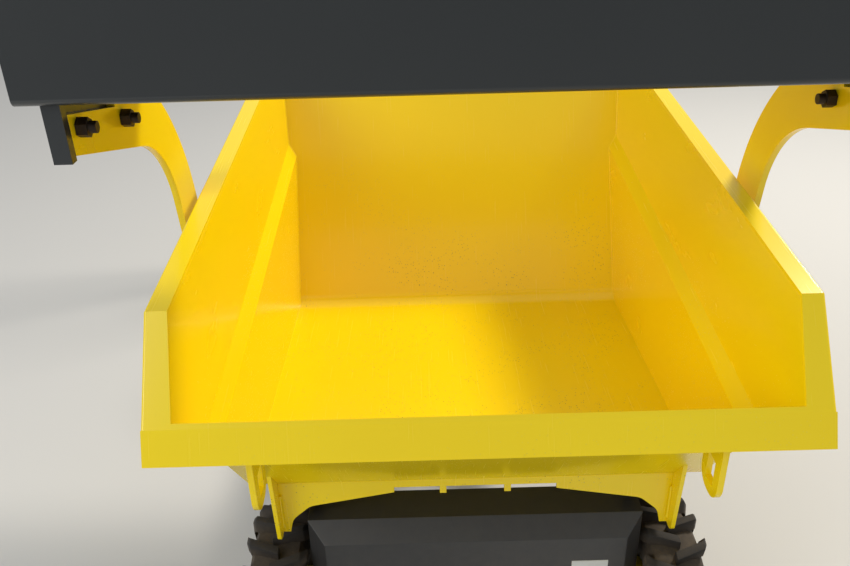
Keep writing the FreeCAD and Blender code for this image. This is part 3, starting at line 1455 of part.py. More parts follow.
os.makedirs("parts", exist_ok=True)
for node in nodes:
    node.Shape.exportStep("parts/" + node.Label + ".step")
    box = node.Shape.BoundBox
    print("%-22s %2d solids  x %6.0f %6.0f  y %6.0f %6.0f  z %5.0f %5.0f  %8.1f cm3" % (
        node.Label, len(node.Shape.Solids), box.XMin, box.XMax, box.YMin, box.YMax,
        box.ZMin, box.ZMax, node.Shape.Volume / 1000))
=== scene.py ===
# %% [markdown]
# # A self-loading site dumper
# A small articulated dumper: a yellow tipping skip in front, a dark loading
# shovel held above the skip's mouth by two gooseneck arms, and the operator's
# place behind. The solids come from the construction model and are never
# moved here. This file gives them their finishes, models the soft and fine
# pieces on top of them, and sets the camera, the floor and the lamps.

# %% Load the construction model
import json
import math

import bmesh
import bpy
from mathutils import Matrix, Vector


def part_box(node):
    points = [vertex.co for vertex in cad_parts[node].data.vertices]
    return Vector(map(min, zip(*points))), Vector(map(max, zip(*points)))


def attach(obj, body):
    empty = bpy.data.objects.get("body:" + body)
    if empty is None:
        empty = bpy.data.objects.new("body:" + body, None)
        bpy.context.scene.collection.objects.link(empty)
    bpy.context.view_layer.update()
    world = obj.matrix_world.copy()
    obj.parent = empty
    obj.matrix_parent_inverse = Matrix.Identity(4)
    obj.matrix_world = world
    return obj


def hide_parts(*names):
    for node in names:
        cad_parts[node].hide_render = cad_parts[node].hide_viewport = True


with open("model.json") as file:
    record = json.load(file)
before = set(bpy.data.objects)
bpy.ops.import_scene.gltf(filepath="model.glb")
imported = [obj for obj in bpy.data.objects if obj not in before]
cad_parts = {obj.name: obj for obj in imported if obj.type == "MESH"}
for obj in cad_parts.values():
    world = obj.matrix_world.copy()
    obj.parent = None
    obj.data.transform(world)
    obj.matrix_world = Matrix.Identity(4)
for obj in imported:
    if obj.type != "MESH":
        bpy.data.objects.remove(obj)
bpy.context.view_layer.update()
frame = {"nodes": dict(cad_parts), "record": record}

# %% [markdown]
# ## Colours and nodes
# Colours are written as the hex values that a paint chart shows. Blender
# mixes light in linear values, so one function turns them. A second small
# function adds a shader node with its settings and its links in one go,
# which keeps each material below short enough to read as a recipe.

# %% Helpers for materials


def colour(hex_text):
    """A linear colour with alpha from an sRGB hex value such as F4B400."""
    parts = [int(hex_text[i:i + 2], 16) / 255 for i in (0, 2, 4)]
    linear = [p / 12.92 if p <= 0.04045 else ((p + 0.055) / 1.055) ** 2.4 for p in parts]
    return (*linear, 1.0)


def add_node(tree, kind, inputs=None, **settings):
    """Adds one shader node and fills its inputs with values or with other sockets."""
    made = tree.nodes.new(kind)
    for name, value in settings.items():
        setattr(made, name, value)
    for name, value in (inputs or {}).items():
        if isinstance(value, bpy.types.NodeSocket):
            tree.links.new(value, made.inputs[name])
        else:
            made.inputs[name].default_value = value
    return made


def new_finish(name):
    """An empty material: its node tree, its main shader and its object coordinates in metres."""
    finish = bpy.data.materials.new(name)
    finish.use_nodes = True
    tree = finish.node_tree
    shader = tree.nodes["Principled BSDF"]
    place = add_node(tree, "ShaderNodeTexCoord").outputs["Object"]
    return finish, tree, shader, place


def connect(tree, output, target):
    """Links a node's output to a shader's input."""
    tree.links.new(output, target)


def blend_colours(tree, factor, first, second):
    """The mixed colour of two: each is a hex value or another node's colour."""
    sides = [colour(side) if isinstance(side, str) else side for side in (first, second)]
    mixed = add_node(tree, "ShaderNodeMix", {"Factor": factor, "A": sides[0], "B": sides[1]},
                     data_type="RGBA")
    return mixed.outputs["Result"]


# %% [markdown]
# ## Two-pack enamel in yellow
# The skip, the arms and the hood are steel, blasted and sprayed with a
# two-pack polyurethane enamel. The film is glossy but not flat: spray gives
# an orange peel of about 2 mm. Loads that slide leave hair scratches that run
# towards the lip, and grit leaves dark specks where it lies, on the floor and
# low on the walls. A plain image of paint could be stretched over the shape,
# but noise in the object's own coordinates keeps its scale on every wall.

# %% Enamel


def enamel(name, base_hex, deep_hex, dust_hex, gloss, dust_top, specks=0.0):
    """Sprayed enamel: orange peel, uneven tone, dust that thins with height, and grit."""
    finish, tree, shader, place = new_finish(name)
    cloud = add_node(tree, "ShaderNodeTexNoise", {"Vector": place, "Scale": 3.0, "Detail": 4.0})
    base = blend_colours(tree, cloud.outputs["Fac"], deep_hex, base_hex)
    height = add_node(tree, "ShaderNodeSeparateXYZ", {"Vector": place}).outputs["Z"]
    low = add_node(tree, "ShaderNodeMapRange", {"Value": height, "From Min": 0.0,
                                                "From Max": dust_top, "To Min": 0.55,
                                                "To Max": 0.0})
    grain = add_node(tree, "ShaderNodeTexNoise", {"Vector": place, "Scale": 38.0, "Detail": 5.0,
                                                  "Roughness": 0.65})
    amount = add_node(tree, "ShaderNodeMath", {0: low.outputs["Result"], 1: grain.outputs["Fac"]},
                      operation="MULTIPLY")
    base = blend_colours(tree, amount.outputs["Value"], base, dust_hex)
    rough_in = amount.outputs["Value"]
    if specks:
        # Grit of 2 to 5 mm, only in some patches, and thicker near the floor of the skip
        spot = add_node(tree, "ShaderNodeTexVoronoi", {"Vector": place, "Scale": 150.0})
        near = add_node(tree, "ShaderNodeMapRange", {"Value": spot.outputs["Distance"],
                                                     "From Min": 0.10, "From Max": 0.22,
                                                     "To Min": 1.0, "To Max": 0.0})
        patch = add_node(tree, "ShaderNodeTexNoise", {"Vector": place, "Scale": 6.0, "Detail": 6.0,
                                                      "Roughness": 0.7})
        where = add_node(tree, "ShaderNodeMapRange", {"Value": patch.outputs["Fac"],
                                                      "From Min": 0.46, "From Max": 0.60})
        deep = add_node(tree, "ShaderNodeMapRange", {"Value": height, "From Min": 0.60,
                                                     "From Max": 1.00, "To Min": specks,
                                                     "To Max": 0.0})
        both = add_node(tree, "ShaderNodeMath", {0: near.outputs["Result"],
                                                 1: where.outputs["Result"]},
                        operation="MULTIPLY")
        grit = add_node(tree, "ShaderNodeMath", {0: both.outputs["Value"],
                                                 1: deep.outputs["Result"]},
                        operation="MULTIPLY", use_clamp=True)
        base = blend_colours(tree, grit.outputs["Value"], base, "6B4A12")
        rough_in = add_node(tree, "ShaderNodeMath", {0: amount.outputs["Value"],
                                                     1: grit.outputs["Value"]},
                            operation="ADD").outputs["Value"]
    connect(tree, base, shader.inputs["Base Color"])
    # Hair scratches: noise stretched some 40 to 1 along the way that loads slide
    slide = add_node(tree, "ShaderNodeMapping", {"Vector": place, "Scale": (260.0, 6.0, 9.0)})
    hair = add_node(tree, "ShaderNodeTexNoise", {"Vector": slide.outputs["Vector"], "Scale": 1.0,
                                                 "Detail": 3.0})
    scratch = add_node(tree, "ShaderNodeMapRange", {"Value": hair.outputs["Fac"], "From Min": 0.62,
                                                    "From Max": 0.72, "To Min": gloss,
                                                    "To Max": gloss + 0.07})
    rougher = add_node(tree, "ShaderNodeMath", {0: scratch.outputs["Result"], 1: rough_in},
                       operation="ADD")
    connect(tree, rougher.outputs["Value"], shader.inputs["Roughness"])
    peel = add_node(tree, "ShaderNodeTexNoise", {"Vector": place, "Scale": 420.0, "Detail": 2.0})
    bump = add_node(tree, "ShaderNodeBump", {"Height": peel.outputs["Fac"], "Strength": 0.06,
                                             "Distance": 0.0006})
    connect(tree, bump.outputs["Normal"], shader.inputs["Normal"])
    shader.inputs["IOR"].default_value = 1.5
    shader.inputs["Coat Weight"].default_value = 0.18
    shader.inputs["Coat Roughness"].default_value = 0.06
    return finish


yellow_enamel = enamel("yellow_enamel", "FFE200", "FBD900", "B79A6A", 0.24, 0.55, specks=0.9)
dark_enamel = enamel("anthracite_enamel", "2B2D30", "25272A", "8E8577", 0.34, 0.60)
frame_enamel = enamel("dark_frame_enamel", "2D2F32", "27292C", "8E8577", 0.42, 0.60)
print("enamels:", yellow_enamel.name, dark_enamel.name, frame_enamel.name)

# %% [markdown]
# ## The shovel's worn edge
# Sand grinds the paint off the last 30 mm before the cutting edge, in an
# uneven line, and leaves bright steel. The shovel's enamel is the same as on
# the box, so its material is made the same way and then mixed with steel by
# the height above the ground of the lifted shovel.

# %% Enamel that is worn to steel along the cutting edge
EDGE_HEIGHT = 1.800
WORN_BAND = 0.035
shovel_enamel = enamel("worn_shovel_enamel", "2A2E30", "24282A", "8E8577", 0.34, 0.60)
tree = shovel_enamel.node_tree
shader = tree.nodes["Principled BSDF"]
place = add_node(tree, "ShaderNodeTexCoord").outputs["Object"]
height = add_node(tree, "ShaderNodeSeparateXYZ", {"Vector": place}).outputs["Z"]
ragged = add_node(tree, "ShaderNodeTexNoise", {"Vector": place, "Scale": 22.0, "Detail": 6.0})
lifted = add_node(tree, "ShaderNodeMath", {0: ragged.outputs["Fac"], 1: WORN_BAND, 2: height},
                  operation="MULTIPLY_ADD")
bare = add_node(tree, "ShaderNodeMapRange", {"Value": lifted.outputs["Value"],
                                             "From Min": EDGE_HEIGHT - 0.35 * WORN_BAND,
                                             "From Max": EDGE_HEIGHT - 0.20 * WORN_BAND})
painted = shader.inputs["Base Color"].links[0].from_socket
connect(tree, blend_colours(tree, bare.outputs["Result"], painted, "A7A5A2"),
        shader.inputs["Base Color"])
connect(tree, bare.outputs["Result"], shader.inputs["Metallic"])

# %% [markdown]
# ## The other finishes
# Tyre rubber is black with a grey bloom. Pins and bolts are zinc plated, rods
# are hard chromed, castings are rough and painted. The tanks are moulded
# polyethylene and the seat is vinyl on foam. Each starts from the typical
# metallic and roughness values of its kind, with one grain size in its bump.

# %% Finishes of two close tones and one grain


def simple_finish(name, base_hex, other_hex, metallic, roughness, scale_per_m, depth_mm,
                  strength=0.3):
    """A finish with two close tones and a bump of one grain size."""
    finish, tree, shader, place = new_finish(name)
    grain = add_node(tree, "ShaderNodeTexNoise", {"Vector": place, "Scale": scale_per_m,
                                                  "Detail": 4.0, "Roughness": 0.6})
    connect(tree, blend_colours(tree, grain.outputs["Fac"], base_hex, other_hex),
            shader.inputs["Base Color"])
    uneven = add_node(tree, "ShaderNodeMapRange", {"Value": grain.outputs["Fac"],
                                                   "To Min": roughness - 0.06,
                                                   "To Max": roughness + 0.08})
    connect(tree, uneven.outputs["Result"], shader.inputs["Roughness"])
    bump = add_node(tree, "ShaderNodeBump", {"Height": grain.outputs["Fac"], "Strength": strength,
                                             "Distance": depth_mm / 1000})
    connect(tree, bump.outputs["Normal"], shader.inputs["Normal"])
    shader.inputs["Metallic"].default_value = metallic
    return finish


soft_rubber = simple_finish("moulded_rubber", "1A1A1B", "232324", 0.0, 0.62, 240.0, 0.3)
zinc_plate = simple_finish("zinc_plate", "B9B7A8", "8F918F", 1.0, 0.36, 90.0, 0.1, 0.1)
black_bolt = simple_finish("blackened_steel", "2A2724", "4A3B2E", 0.7, 0.50, 200.0, 0.3)
hard_chrome = simple_finish("hard_chrome", "D8DADC", "CFD2D4", 1.0, 0.12, 60.0, 0.02, 0.03)
cast_iron = simple_finish("painted_casting", "26282A", "303234", 0.0, 0.58, 260.0, 0.8, 0.5)
tank_plastic = simple_finish("rotomoulded_polyethylene", "1E1F21", "27282A", 0.0, 0.55, 300.0, 0.3)
panel_plastic = simple_finish("moulded_abs", "232426", "2B2C2E", 0.0, 0.45, 500.0, 0.2)
lamp_lens = simple_finish("clear_lens", "E8EBEE", "D9DEE2", 0.0, 0.10, 120.0, 0.2, 0.1)
amber_lens = simple_finish("amber_lens", "F08A12", "E57A08", 0.0, 0.12, 120.0, 0.2, 0.1)
red_lens = simple_finish("red_lens", "B5150E", "9C0F0A", 0.0, 0.12, 120.0, 0.2, 0.1)
burnt_steel = simple_finish("heat_stained_steel", "6E6660", "544B45", 1.0, 0.45, 40.0, 0.2, 0.2)
label_film = simple_finish("label_film", "DCDDD8", "CFD0CA", 0.0, 0.42, 60.0, 0.05, 0.05)

# %% [markdown]
# ## Tyre rubber with site dust
# A tyre picks up sand: it stays between the lugs and in the shoulder, and
# rubs off where the lugs touch the ground. The distance from the wheel's own
# axle tells the two apart, so the dust fades out towards the lugs' tops.

# %% Tyre rubber
TYRE_RADIUS = 0.235
FRONT_AXLE_Y = -1.235
REAR_AXLE_Y = 0.770


def tyre_finish(name, axle_y):
    """Rubber with sand in the grooves, by the distance from an axle along X."""
    finish, tree, shader, place = new_finish(name)
    flat = add_node(tree, "ShaderNodeVectorMath", {0: place, 1: (0.0, 1.0, 1.0)},
                    operation="MULTIPLY")
    centre = (0.0, axle_y, TYRE_RADIUS)
    off = add_node(tree, "ShaderNodeVectorMath", {0: flat.outputs["Vector"], 1: centre},
                   operation="DISTANCE")
    groove = add_node(tree, "ShaderNodeMapRange", {"Value": off.outputs["Value"], "From Min": 0.205,
                                                   "From Max": 0.232, "To Min": 0.60,
                                                   "To Max": 0.12})
    grain = add_node(tree, "ShaderNodeTexNoise", {"Vector": place, "Scale": 55.0, "Detail": 6.0,
                                                  "Roughness": 0.7})
    amount = add_node(tree, "ShaderNodeMath", {0: groove.outputs["Result"], 1: grain.outputs["Fac"]},
                      operation="MULTIPLY")
    connect(tree, blend_colours(tree, amount.outputs["Value"], "1A1A1B", "7D6C55"),
            shader.inputs["Base Color"])
    bump = add_node(tree, "ShaderNodeBump", {"Height": grain.outputs["Fac"], "Strength": 0.4,
                                             "Distance": 0.0012})
    connect(tree, bump.outputs["Normal"], shader.inputs["Normal"])
    shader.inputs["Roughness"].default_value = 0.8
    return finish


front_rubber = tyre_finish("front_tyre_rubber", FRONT_AXLE_Y)
rear_rubber = tyre_finish("rear_tyre_rubber", REAR_AXLE_Y)

# %% [markdown]
# ## Vinyl
# The seat is knitted cloth coated with vinyl and embossed with a leather
# grain of about 1.5 mm. Voronoi cells give such a grain, shallow and soft.

# %% Seat vinyl
seat_vinyl, tree, shader, place = new_finish("seat_vinyl")
cells = add_node(tree, "ShaderNodeTexVoronoi", {"Vector": place, "Scale": 620.0},
                 feature="SMOOTH_F1")
tone = add_node(tree, "ShaderNodeTexNoise", {"Vector": place, "Scale": 9.0, "Detail": 4.0})
connect(tree, blend_colours(tree, tone.outputs["Fac"], "1A1B1D", "2A2B2D"),
        shader.inputs["Base Color"])
emboss = add_node(tree, "ShaderNodeBump", {"Height": cells.outputs["Distance"], "Strength": 0.35,
                                           "Distance": 0.0006})
connect(tree, emboss.outputs["Normal"], shader.inputs["Normal"])
shader.inputs["Roughness"].default_value = 0.46
shader.inputs["Sheen Weight"].default_value = 0.1

# %% [markdown]
# ## Deck plate
# The operator stands on steel tread plate, rolled with lozenges 25 mm long
# that stand crosswise to each other. Two stretched cell patterns, one for
# each direction, raise them in the bump.

# %% Tread plate
tread_plate, tree, shader, place = new_finish("painted_tread_plate")
heights = []
for turn in (0.785, -0.785):
    across = add_node(tree, "ShaderNodeMapping", {"Vector": place, "Rotation": (0.0, 0.0, turn),
                                                  "Scale": (34.0, 68.0, 1.0)})
    drops = add_node(tree, "ShaderNodeTexVoronoi", {"Vector": across.outputs["Vector"], "Scale": 1.0,
                                                    "Randomness": 0.0},
                     voronoi_dimensions="2D")
    raised = add_node(tree, "ShaderNodeMapRange", {"Value": drops.outputs["Distance"],
                                                   "From Min": 0.22, "From Max": 0.34,
                                                   "To Min": 1.0, "To Max": 0.0})
    heights.append(raised.outputs["Result"])
pattern = add_node(tree, "ShaderNodeMath", {0: heights[0], 1: heights[1]}, operation="MAXIMUM")
worn = add_node(tree, "ShaderNodeTexNoise", {"Vector": place, "Scale": 7.0, "Detail": 5.0})
scuff = add_node(tree, "ShaderNodeMath", {0: pattern.outputs["Value"], 1: worn.outputs["Fac"]},
                 operation="MULTIPLY")
connect(tree, blend_colours(tree, scuff.outputs["Value"], "2B2D30", "6A6863"),
        shader.inputs["Base Color"])
lozenge = add_node(tree, "ShaderNodeBump", {"Height": pattern.outputs["Value"], "Strength": 0.8,
                                            "Distance": 0.0015})
connect(tree, lozenge.outputs["Normal"], shader.inputs["Normal"])
shader.inputs["Roughness"].default_value = 0.5

# %% Dress the construction model's own nodes
FINISH_OF_SLOT = {
    "yellow_paint": yellow_enamel,
    "dark_paint": frame_enamel,
    "steel": zinc_plate,
    "chrome_rod": hard_chrome,
    "cast_iron": cast_iron,
    "tyre_rubber": front_rubber,
    "rubber": soft_rubber,
    "black_plastic": tank_plastic,
    "seat_vinyl": seat_vinyl,
    "lamp_plastic": panel_plastic,
    "amber_plastic": amber_lens,
}
FINISH_OF_NODE = {
    "shovel": shovel_enamel,
    "front_bumper": dark_enamel,
    "shovel_bolts": black_bolt,
    "exhaust": burnt_steel,
    "deck": tread_plate,
    "tyre_rear_left": rear_rubber,
    "tyre_rear_right": rear_rubber,
}
slot_of = {row["node"]: row["material_slot"] for row in frame["record"]["subparts"]}
for name, thing in frame["nodes"].items():
    thing.data.materials.clear()
    thing.data.materials.append(FINISH_OF_NODE.get(name, FINISH_OF_SLOT[slot_of[name]]))

# %% [markdown]
# ## Broken edges
# No sheet or casting has a razor edge: guillotined plate is deburred, cast
# iron comes with a radius, and paint pulls back from an edge and catches the
# light there. A Weld modifier joins the loose triangles, a planar Decimate
# clears the lines across flat faces, and a narrow Bevel rounds what is left.

# %% Bevel the solids that keep their shape
EDGE_MM = {
    "skip_pan": 1.2, "skip_rim": 1.2, "skip_legs": 0.8, "skip_arch_plate": 0.8, "lashing_eyes": 1.2,
    "loader_arm_left": 1.2, "loader_arm_right": 1.2, "shovel": 1.2, "front_bumper": 2.0,
    "front_rails": 2.0, "articulation_fork": 2.0, "articulation_tongue": 2.0, "rear_rails": 2.0,
    "rear_cross_members": 1.5, "front_cross_members": 1.5, "counterweight": 4.0, "engine_bay": 0.6,
    "engine_hood": 0.8, "console": 0.8, "seat_box": 0.8, "deck": 1.0, "fuel_tank": 5.0,
    "hydraulic_tank": 5.0, "shovel_bolts": 1.2, "skip_buffers": 2.5, "loader_brackets": 1.2,
    "rops_hoop": 4.0, "lamps": 3.0,
}
for name, width_mm in EDGE_MM.items():
    thing = frame["nodes"][name]
    join = thing.modifiers.new("join", "WELD")
    join.merge_threshold = 0.00002
    flatten = thing.modifiers.new("flatten", "DECIMATE")
    flatten.decimate_type = "DISSOLVE"
    flatten.angle_limit = math.radians(1.0)
    soften = thing.modifiers.new("soften", "BEVEL")
    soften.width = width_mm / 1000
    soften.segments = 2
    soften.limit_method = "ANGLE"
    soften.angle_limit = math.radians(28)
    soften.harden_normals = True
print("broken edges on", len(EDGE_MM), "solids")

# %% [markdown]
# ## Modelling helpers
# Pieces are modelled the way a hand would do it: a primitive is added at its
# place and size, its faces are selected, and they are extruded, inset and
# moved. Operators act on whatever is selected, so each piece starts with
# nothing selected, and faces are chosen in code by where they lie.

# %% Helpers for pieces


def clear_selection():
    """Object mode, with nothing selected."""
    if bpy.context.mode != "OBJECT":
        bpy.ops.object.mode_set(mode="OBJECT")
    bpy.ops.object.select_all(action="DESELECT")


def only(piece):
    """Makes one piece the selected and active one."""
    clear_selection()
    piece.select_set(True)
    bpy.context.view_layer.objects.active = piece


def start_round(name, place, radius, length, axis="Z", sides=32):
    """A new cylinder about one axis, ready to be shaped."""
    clear_selection()
    turn = {"X": (0, math.pi / 2, 0), "Y": (math.pi / 2, 0, 0), "Z": (0, 0, 0)}[axis]
    bpy.ops.mesh.primitive_cylinder_add(vertices=sides, radius=radius, depth=length,
                                        location=place, rotation=turn)
    piece = bpy.context.active_object
    piece.name = name
    bpy.ops.object.transform_apply(location=True, rotation=True, scale=True)
    return piece


def start_box(name, low, high):
    """A new box between two corners, ready to be shaped."""
    clear_selection()
    middle = [(a + b) / 2 for a, b in zip(low, high)]
    bpy.ops.mesh.primitive_cube_add(size=1, location=middle)
    piece = bpy.context.active_object
    piece.name = name
    piece.scale = [b - a for a, b in zip(low, high)]
    bpy.ops.object.transform_apply(location=True, rotation=True, scale=True)
    return piece


def choose_faces(piece, test):
    """Selects the faces whose middle and normal pass a test, and stays in edit mode."""
    only(piece)
    bpy.ops.object.mode_set(mode="EDIT")
    bpy.ops.mesh.select_mode(type="FACE")
    bpy.ops.mesh.select_all(action="DESELECT")
    grid = bmesh.from_edit_mesh(piece.data)
    for face in grid.faces:
        if test(face.calc_center_median(), face.normal):
            face.select = True
    bmesh.update_edit_mesh(piece.data)


def extrude(vector):
    """Draws the selected faces out along a vector."""
    bpy.ops.mesh.extrude_region_move(TRANSFORM_OT_translate={"value": vector})


def bevel_edges(piece, width, segments=2, angle=30):
    """Rounds the edges sharper than an angle with a modifier, and applies it."""
    only(piece)
    soften = piece.modifiers.new("soften", "BEVEL")
    soften.width = width
    soften.segments = segments
    soften.limit_method = "ANGLE"
    soften.angle_limit = math.radians(angle)
    bpy.ops.object.modifier_apply(modifier="soften")


def finish_piece(piece, body, material, smooth=35):
    """Back to object mode, outward faces, smooth shading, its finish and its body."""
    only(piece)
    bpy.ops.object.mode_set(mode="EDIT")
    bpy.ops.mesh.select_all(action="SELECT")
    bpy.ops.mesh.remove_doubles(threshold=0.00002)
    bpy.ops.mesh.normals_make_consistent(inside=False)
    bpy.ops.object.mode_set(mode="OBJECT")
    bpy.ops.object.shade_smooth_by_angle(angle=math.radians(smooth))
    piece.data.materials.clear()
    piece.data.materials.append(material)
    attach(piece, body)
    return piece


def copy_of(piece, name, matrix):
    """A copy with its own mesh, its place changed in the mesh."""
    twin = bpy.data.objects.new(name, piece.data.copy())
    twin.data.transform(matrix)
    if matrix.determinant() < 0:
        twin.data.flip_normals()
    bpy.context.scene.collection.objects.link(twin)
    return twin


def joined(name, pieces):
    """Joins several pieces into the first."""
    clear_selection()
    for piece in pieces:
        piece.select_set(True)
    bpy.context.view_layer.objects.active = pieces[0]
    if len(pieces) > 1:
        bpy.ops.object.join()
    pieces[0].name = name
    return pieces[0]


MIRROR_X = Matrix.Scale(-1, 4, (1, 0, 0))

# %% [markdown]
# ## The tyres
# These are bias-ply traction tyres: a round carcass, and two rows of slanted
# lugs that overlap at the middle of the tread and run down into the shoulder.
# The carcass is a profile spun about the axle. One lug is a block whose
# outer end is drawn out along the shoulder; it is then copied round the
# tread, 20 on each side, with the second row half a pitch behind the first.

# %% One tyre, then its three sisters
LUG_COUNT = 20
LUG_SLANT = 0.42
LUG_REACH = 0.052
LUG_HALF = 0.009
LUG_FOOT = 0.206
LUG_TOP = 0.2338
LUG_SPREAD = 0.0025
SPIN_STEPS = 96
AXLE_Z = TYRE_RADIUS
WHEEL_X = 0.400
# Half of the carcass: distance from its middle, and radius
CARCASS = [(0.034, 0.103), (0.040, 0.108), (0.045, 0.120), (0.051, 0.140), (0.055, 0.160),
           (0.055, 0.180), (0.052, 0.196), (0.044, 0.207), (0.030, 0.212), (0.015, 0.2145),
           (0.0, 0.215)]


def carcass(name, middle_x, axle_y):
    """The carcass: half a profile mirrored and spun round the axle; the rim closes its bore."""
    outline = CARCASS + [(-x, r) for x, r in reversed(CARCASS[:-1])]
    clear_selection()
    bpy.ops.mesh.primitive_plane_add(size=0.01, location=(middle_x, axle_y, AXLE_Z))
    piece = bpy.context.active_object
    piece.name = name
    bpy.ops.object.transform_apply(location=True, rotation=True, scale=True)
    bpy.ops.object.mode_set(mode="EDIT")
    bpy.ops.mesh.delete(type="VERT")
    grid = bmesh.from_edit_mesh(piece.data)
    points = [grid.verts.new((middle_x + x, axle_y, AXLE_Z + r)) for x, r in outline]
    for first, second in zip(points, points[1:]):
        grid.edges.new((first, second))
    bmesh.update_edit_mesh(piece.data)
    bpy.ops.mesh.select_all(action="SELECT")
    bpy.ops.mesh.spin(steps=SPIN_STEPS, angle=2 * math.pi, center=(middle_x, axle_y, AXLE_Z),
                      axis=(1, 0, 0))
    bpy.ops.mesh.select_all(action="SELECT")
    bpy.ops.mesh.remove_doubles(threshold=0.0001)
    bpy.ops.object.mode_set(mode="OBJECT")
    return piece


def lug(name, middle_x, axle_y, side):
    """One lug: a slanted bar from beyond the middle of the tread to low on the shoulder."""
    bar = start_box(name, (-0.008, -LUG_HALF, LUG_FOOT), (LUG_REACH, LUG_HALF, LUG_TOP))
    choose_faces(bar, lambda c, n: n.x > 0.9)
    extrude((0.0105, 0.012, -0.018))
    extrude((-0.004, 0.007, -0.034))
    bpy.ops.object.mode_set(mode="OBJECT")
    for corner in bar.data.vertices:
        spot = corner.co
        # The bar slants backwards from the tread's middle to the shoulder, and its foot is wider
        spot.y += LUG_SLANT * max(spot.x, 0) if spot.z > 0.16 else LUG_SLANT * LUG_REACH
        if spot.z < LUG_FOOT + 0.006:
            spot.y += math.copysign(LUG_SPREAD, spot.y - LUG_SLANT * max(spot.x, 0))
    bevel_edges(bar, 0.0022, 2, 30)
    if side < 0:
        bar.data.transform(MIRROR_X)
        bar.data.flip_normals()
    bar.data.transform(Matrix.Translation((middle_x, axle_y, AXLE_Z)))
    return bar


def tyre(name, middle_x, axle_y):
    """The carcass with its two rows of lugs, joined into one mesh."""
    parts = [carcass(name, middle_x, axle_y)]
    centre = Matrix.Translation((middle_x, axle_y, AXLE_Z))
    for side in (1, -1):
        pattern = lug(name + "_lug", middle_x, axle_y, side)
        for index in range(LUG_COUNT):
            angle = 2 * math.pi * (index + (0.5 if side < 0 else 0)) / LUG_COUNT
            turn = centre @ Matrix.Rotation(angle, 4, "X") @ centre.inverted()
            parts.append(copy_of(pattern, name + "_lug_copy", turn))
        bpy.data.objects.remove(pattern)
    return joined(name, parts)


WHEELS = {"front_left": (-1, FRONT_AXLE_Y), "front_right": (1, FRONT_AXLE_Y),
          "rear_left": (-1, REAR_AXLE_Y), "rear_right": (1, REAR_AXLE_Y)}
WHEEL_BODY = {place: "wheel_" + place for place in WHEELS}
for place, (side, axle_y) in WHEELS.items():
    made = tyre("tread_" + place, side * WHEEL_X, axle_y)
    rubber = front_rubber if axle_y < 0 else rear_rubber
    finish_piece(made, WHEEL_BODY[place], rubber, 32)
    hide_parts("tyre_" + place)
print("tyres with", 2 * LUG_COUNT, "lugs each")

# %% [markdown]
# ## Wheel nuts
# Each rim is held by five nuts on studs. A nut is a six-sided prism with its
# corners turned away, and a stud end stands out of it.

# %% Wheel nuts
NUTS_A_WHEEL = 5
NUT_CIRCLE = 0.066
RIM_FACE_OUT = -0.0073
for place, (side, axle_y) in WHEELS.items():
    face = side * (WHEEL_X + RIM_FACE_OUT)
    nuts = []
    for index in range(NUTS_A_WHEEL):
        angle = 2 * math.pi * index / NUTS_A_WHEEL + math.pi / 2
        y = axle_y + NUT_CIRCLE * math.cos(angle)
        z = AXLE_Z + NUT_CIRCLE * math.sin(angle)
        nut = start_round("nut", (face + side * 0.0055, y, z), 0.0105, 0.011, "X", 6)
        bevel_edges(nut, 0.0015, 2, 50)
        stud = start_round("stud", (face + side * 0.0105, y, z), 0.0055, 0.009, "X", 16)
        bevel_edges(stud, 0.0012, 1, 50)
        nuts += [nut, stud]
    made = joined("wheel_nuts_" + place, nuts)
    finish_piece(made, WHEEL_BODY[place], zinc_plate)

# %% [markdown]
# ## The seat
# The seat is a foam pan and a foam back under vinyl, with sewn channels
# across them. Foam under a cover swells between its seams, so a plain
# rounded box would look hard. Each pad is remeshed to an even skin, blown up
# a little as cloth with pressure, and held inside the space that its solid
# has; the channels are then drawn in along straight lines.

# %% Padded pieces
PAD_INSET = 0.012
SKIN_SIZE = 0.006
SWELL_FRAMES = 20
SWELL_CAP = 0.012
SEAM_DEPTH = 0.009
SEAM_WIDTH = 0.008
PAD_GAP = 0.0005
PAD_FRONT = {"cushion_pad": 1, "backrest_pad": -1}


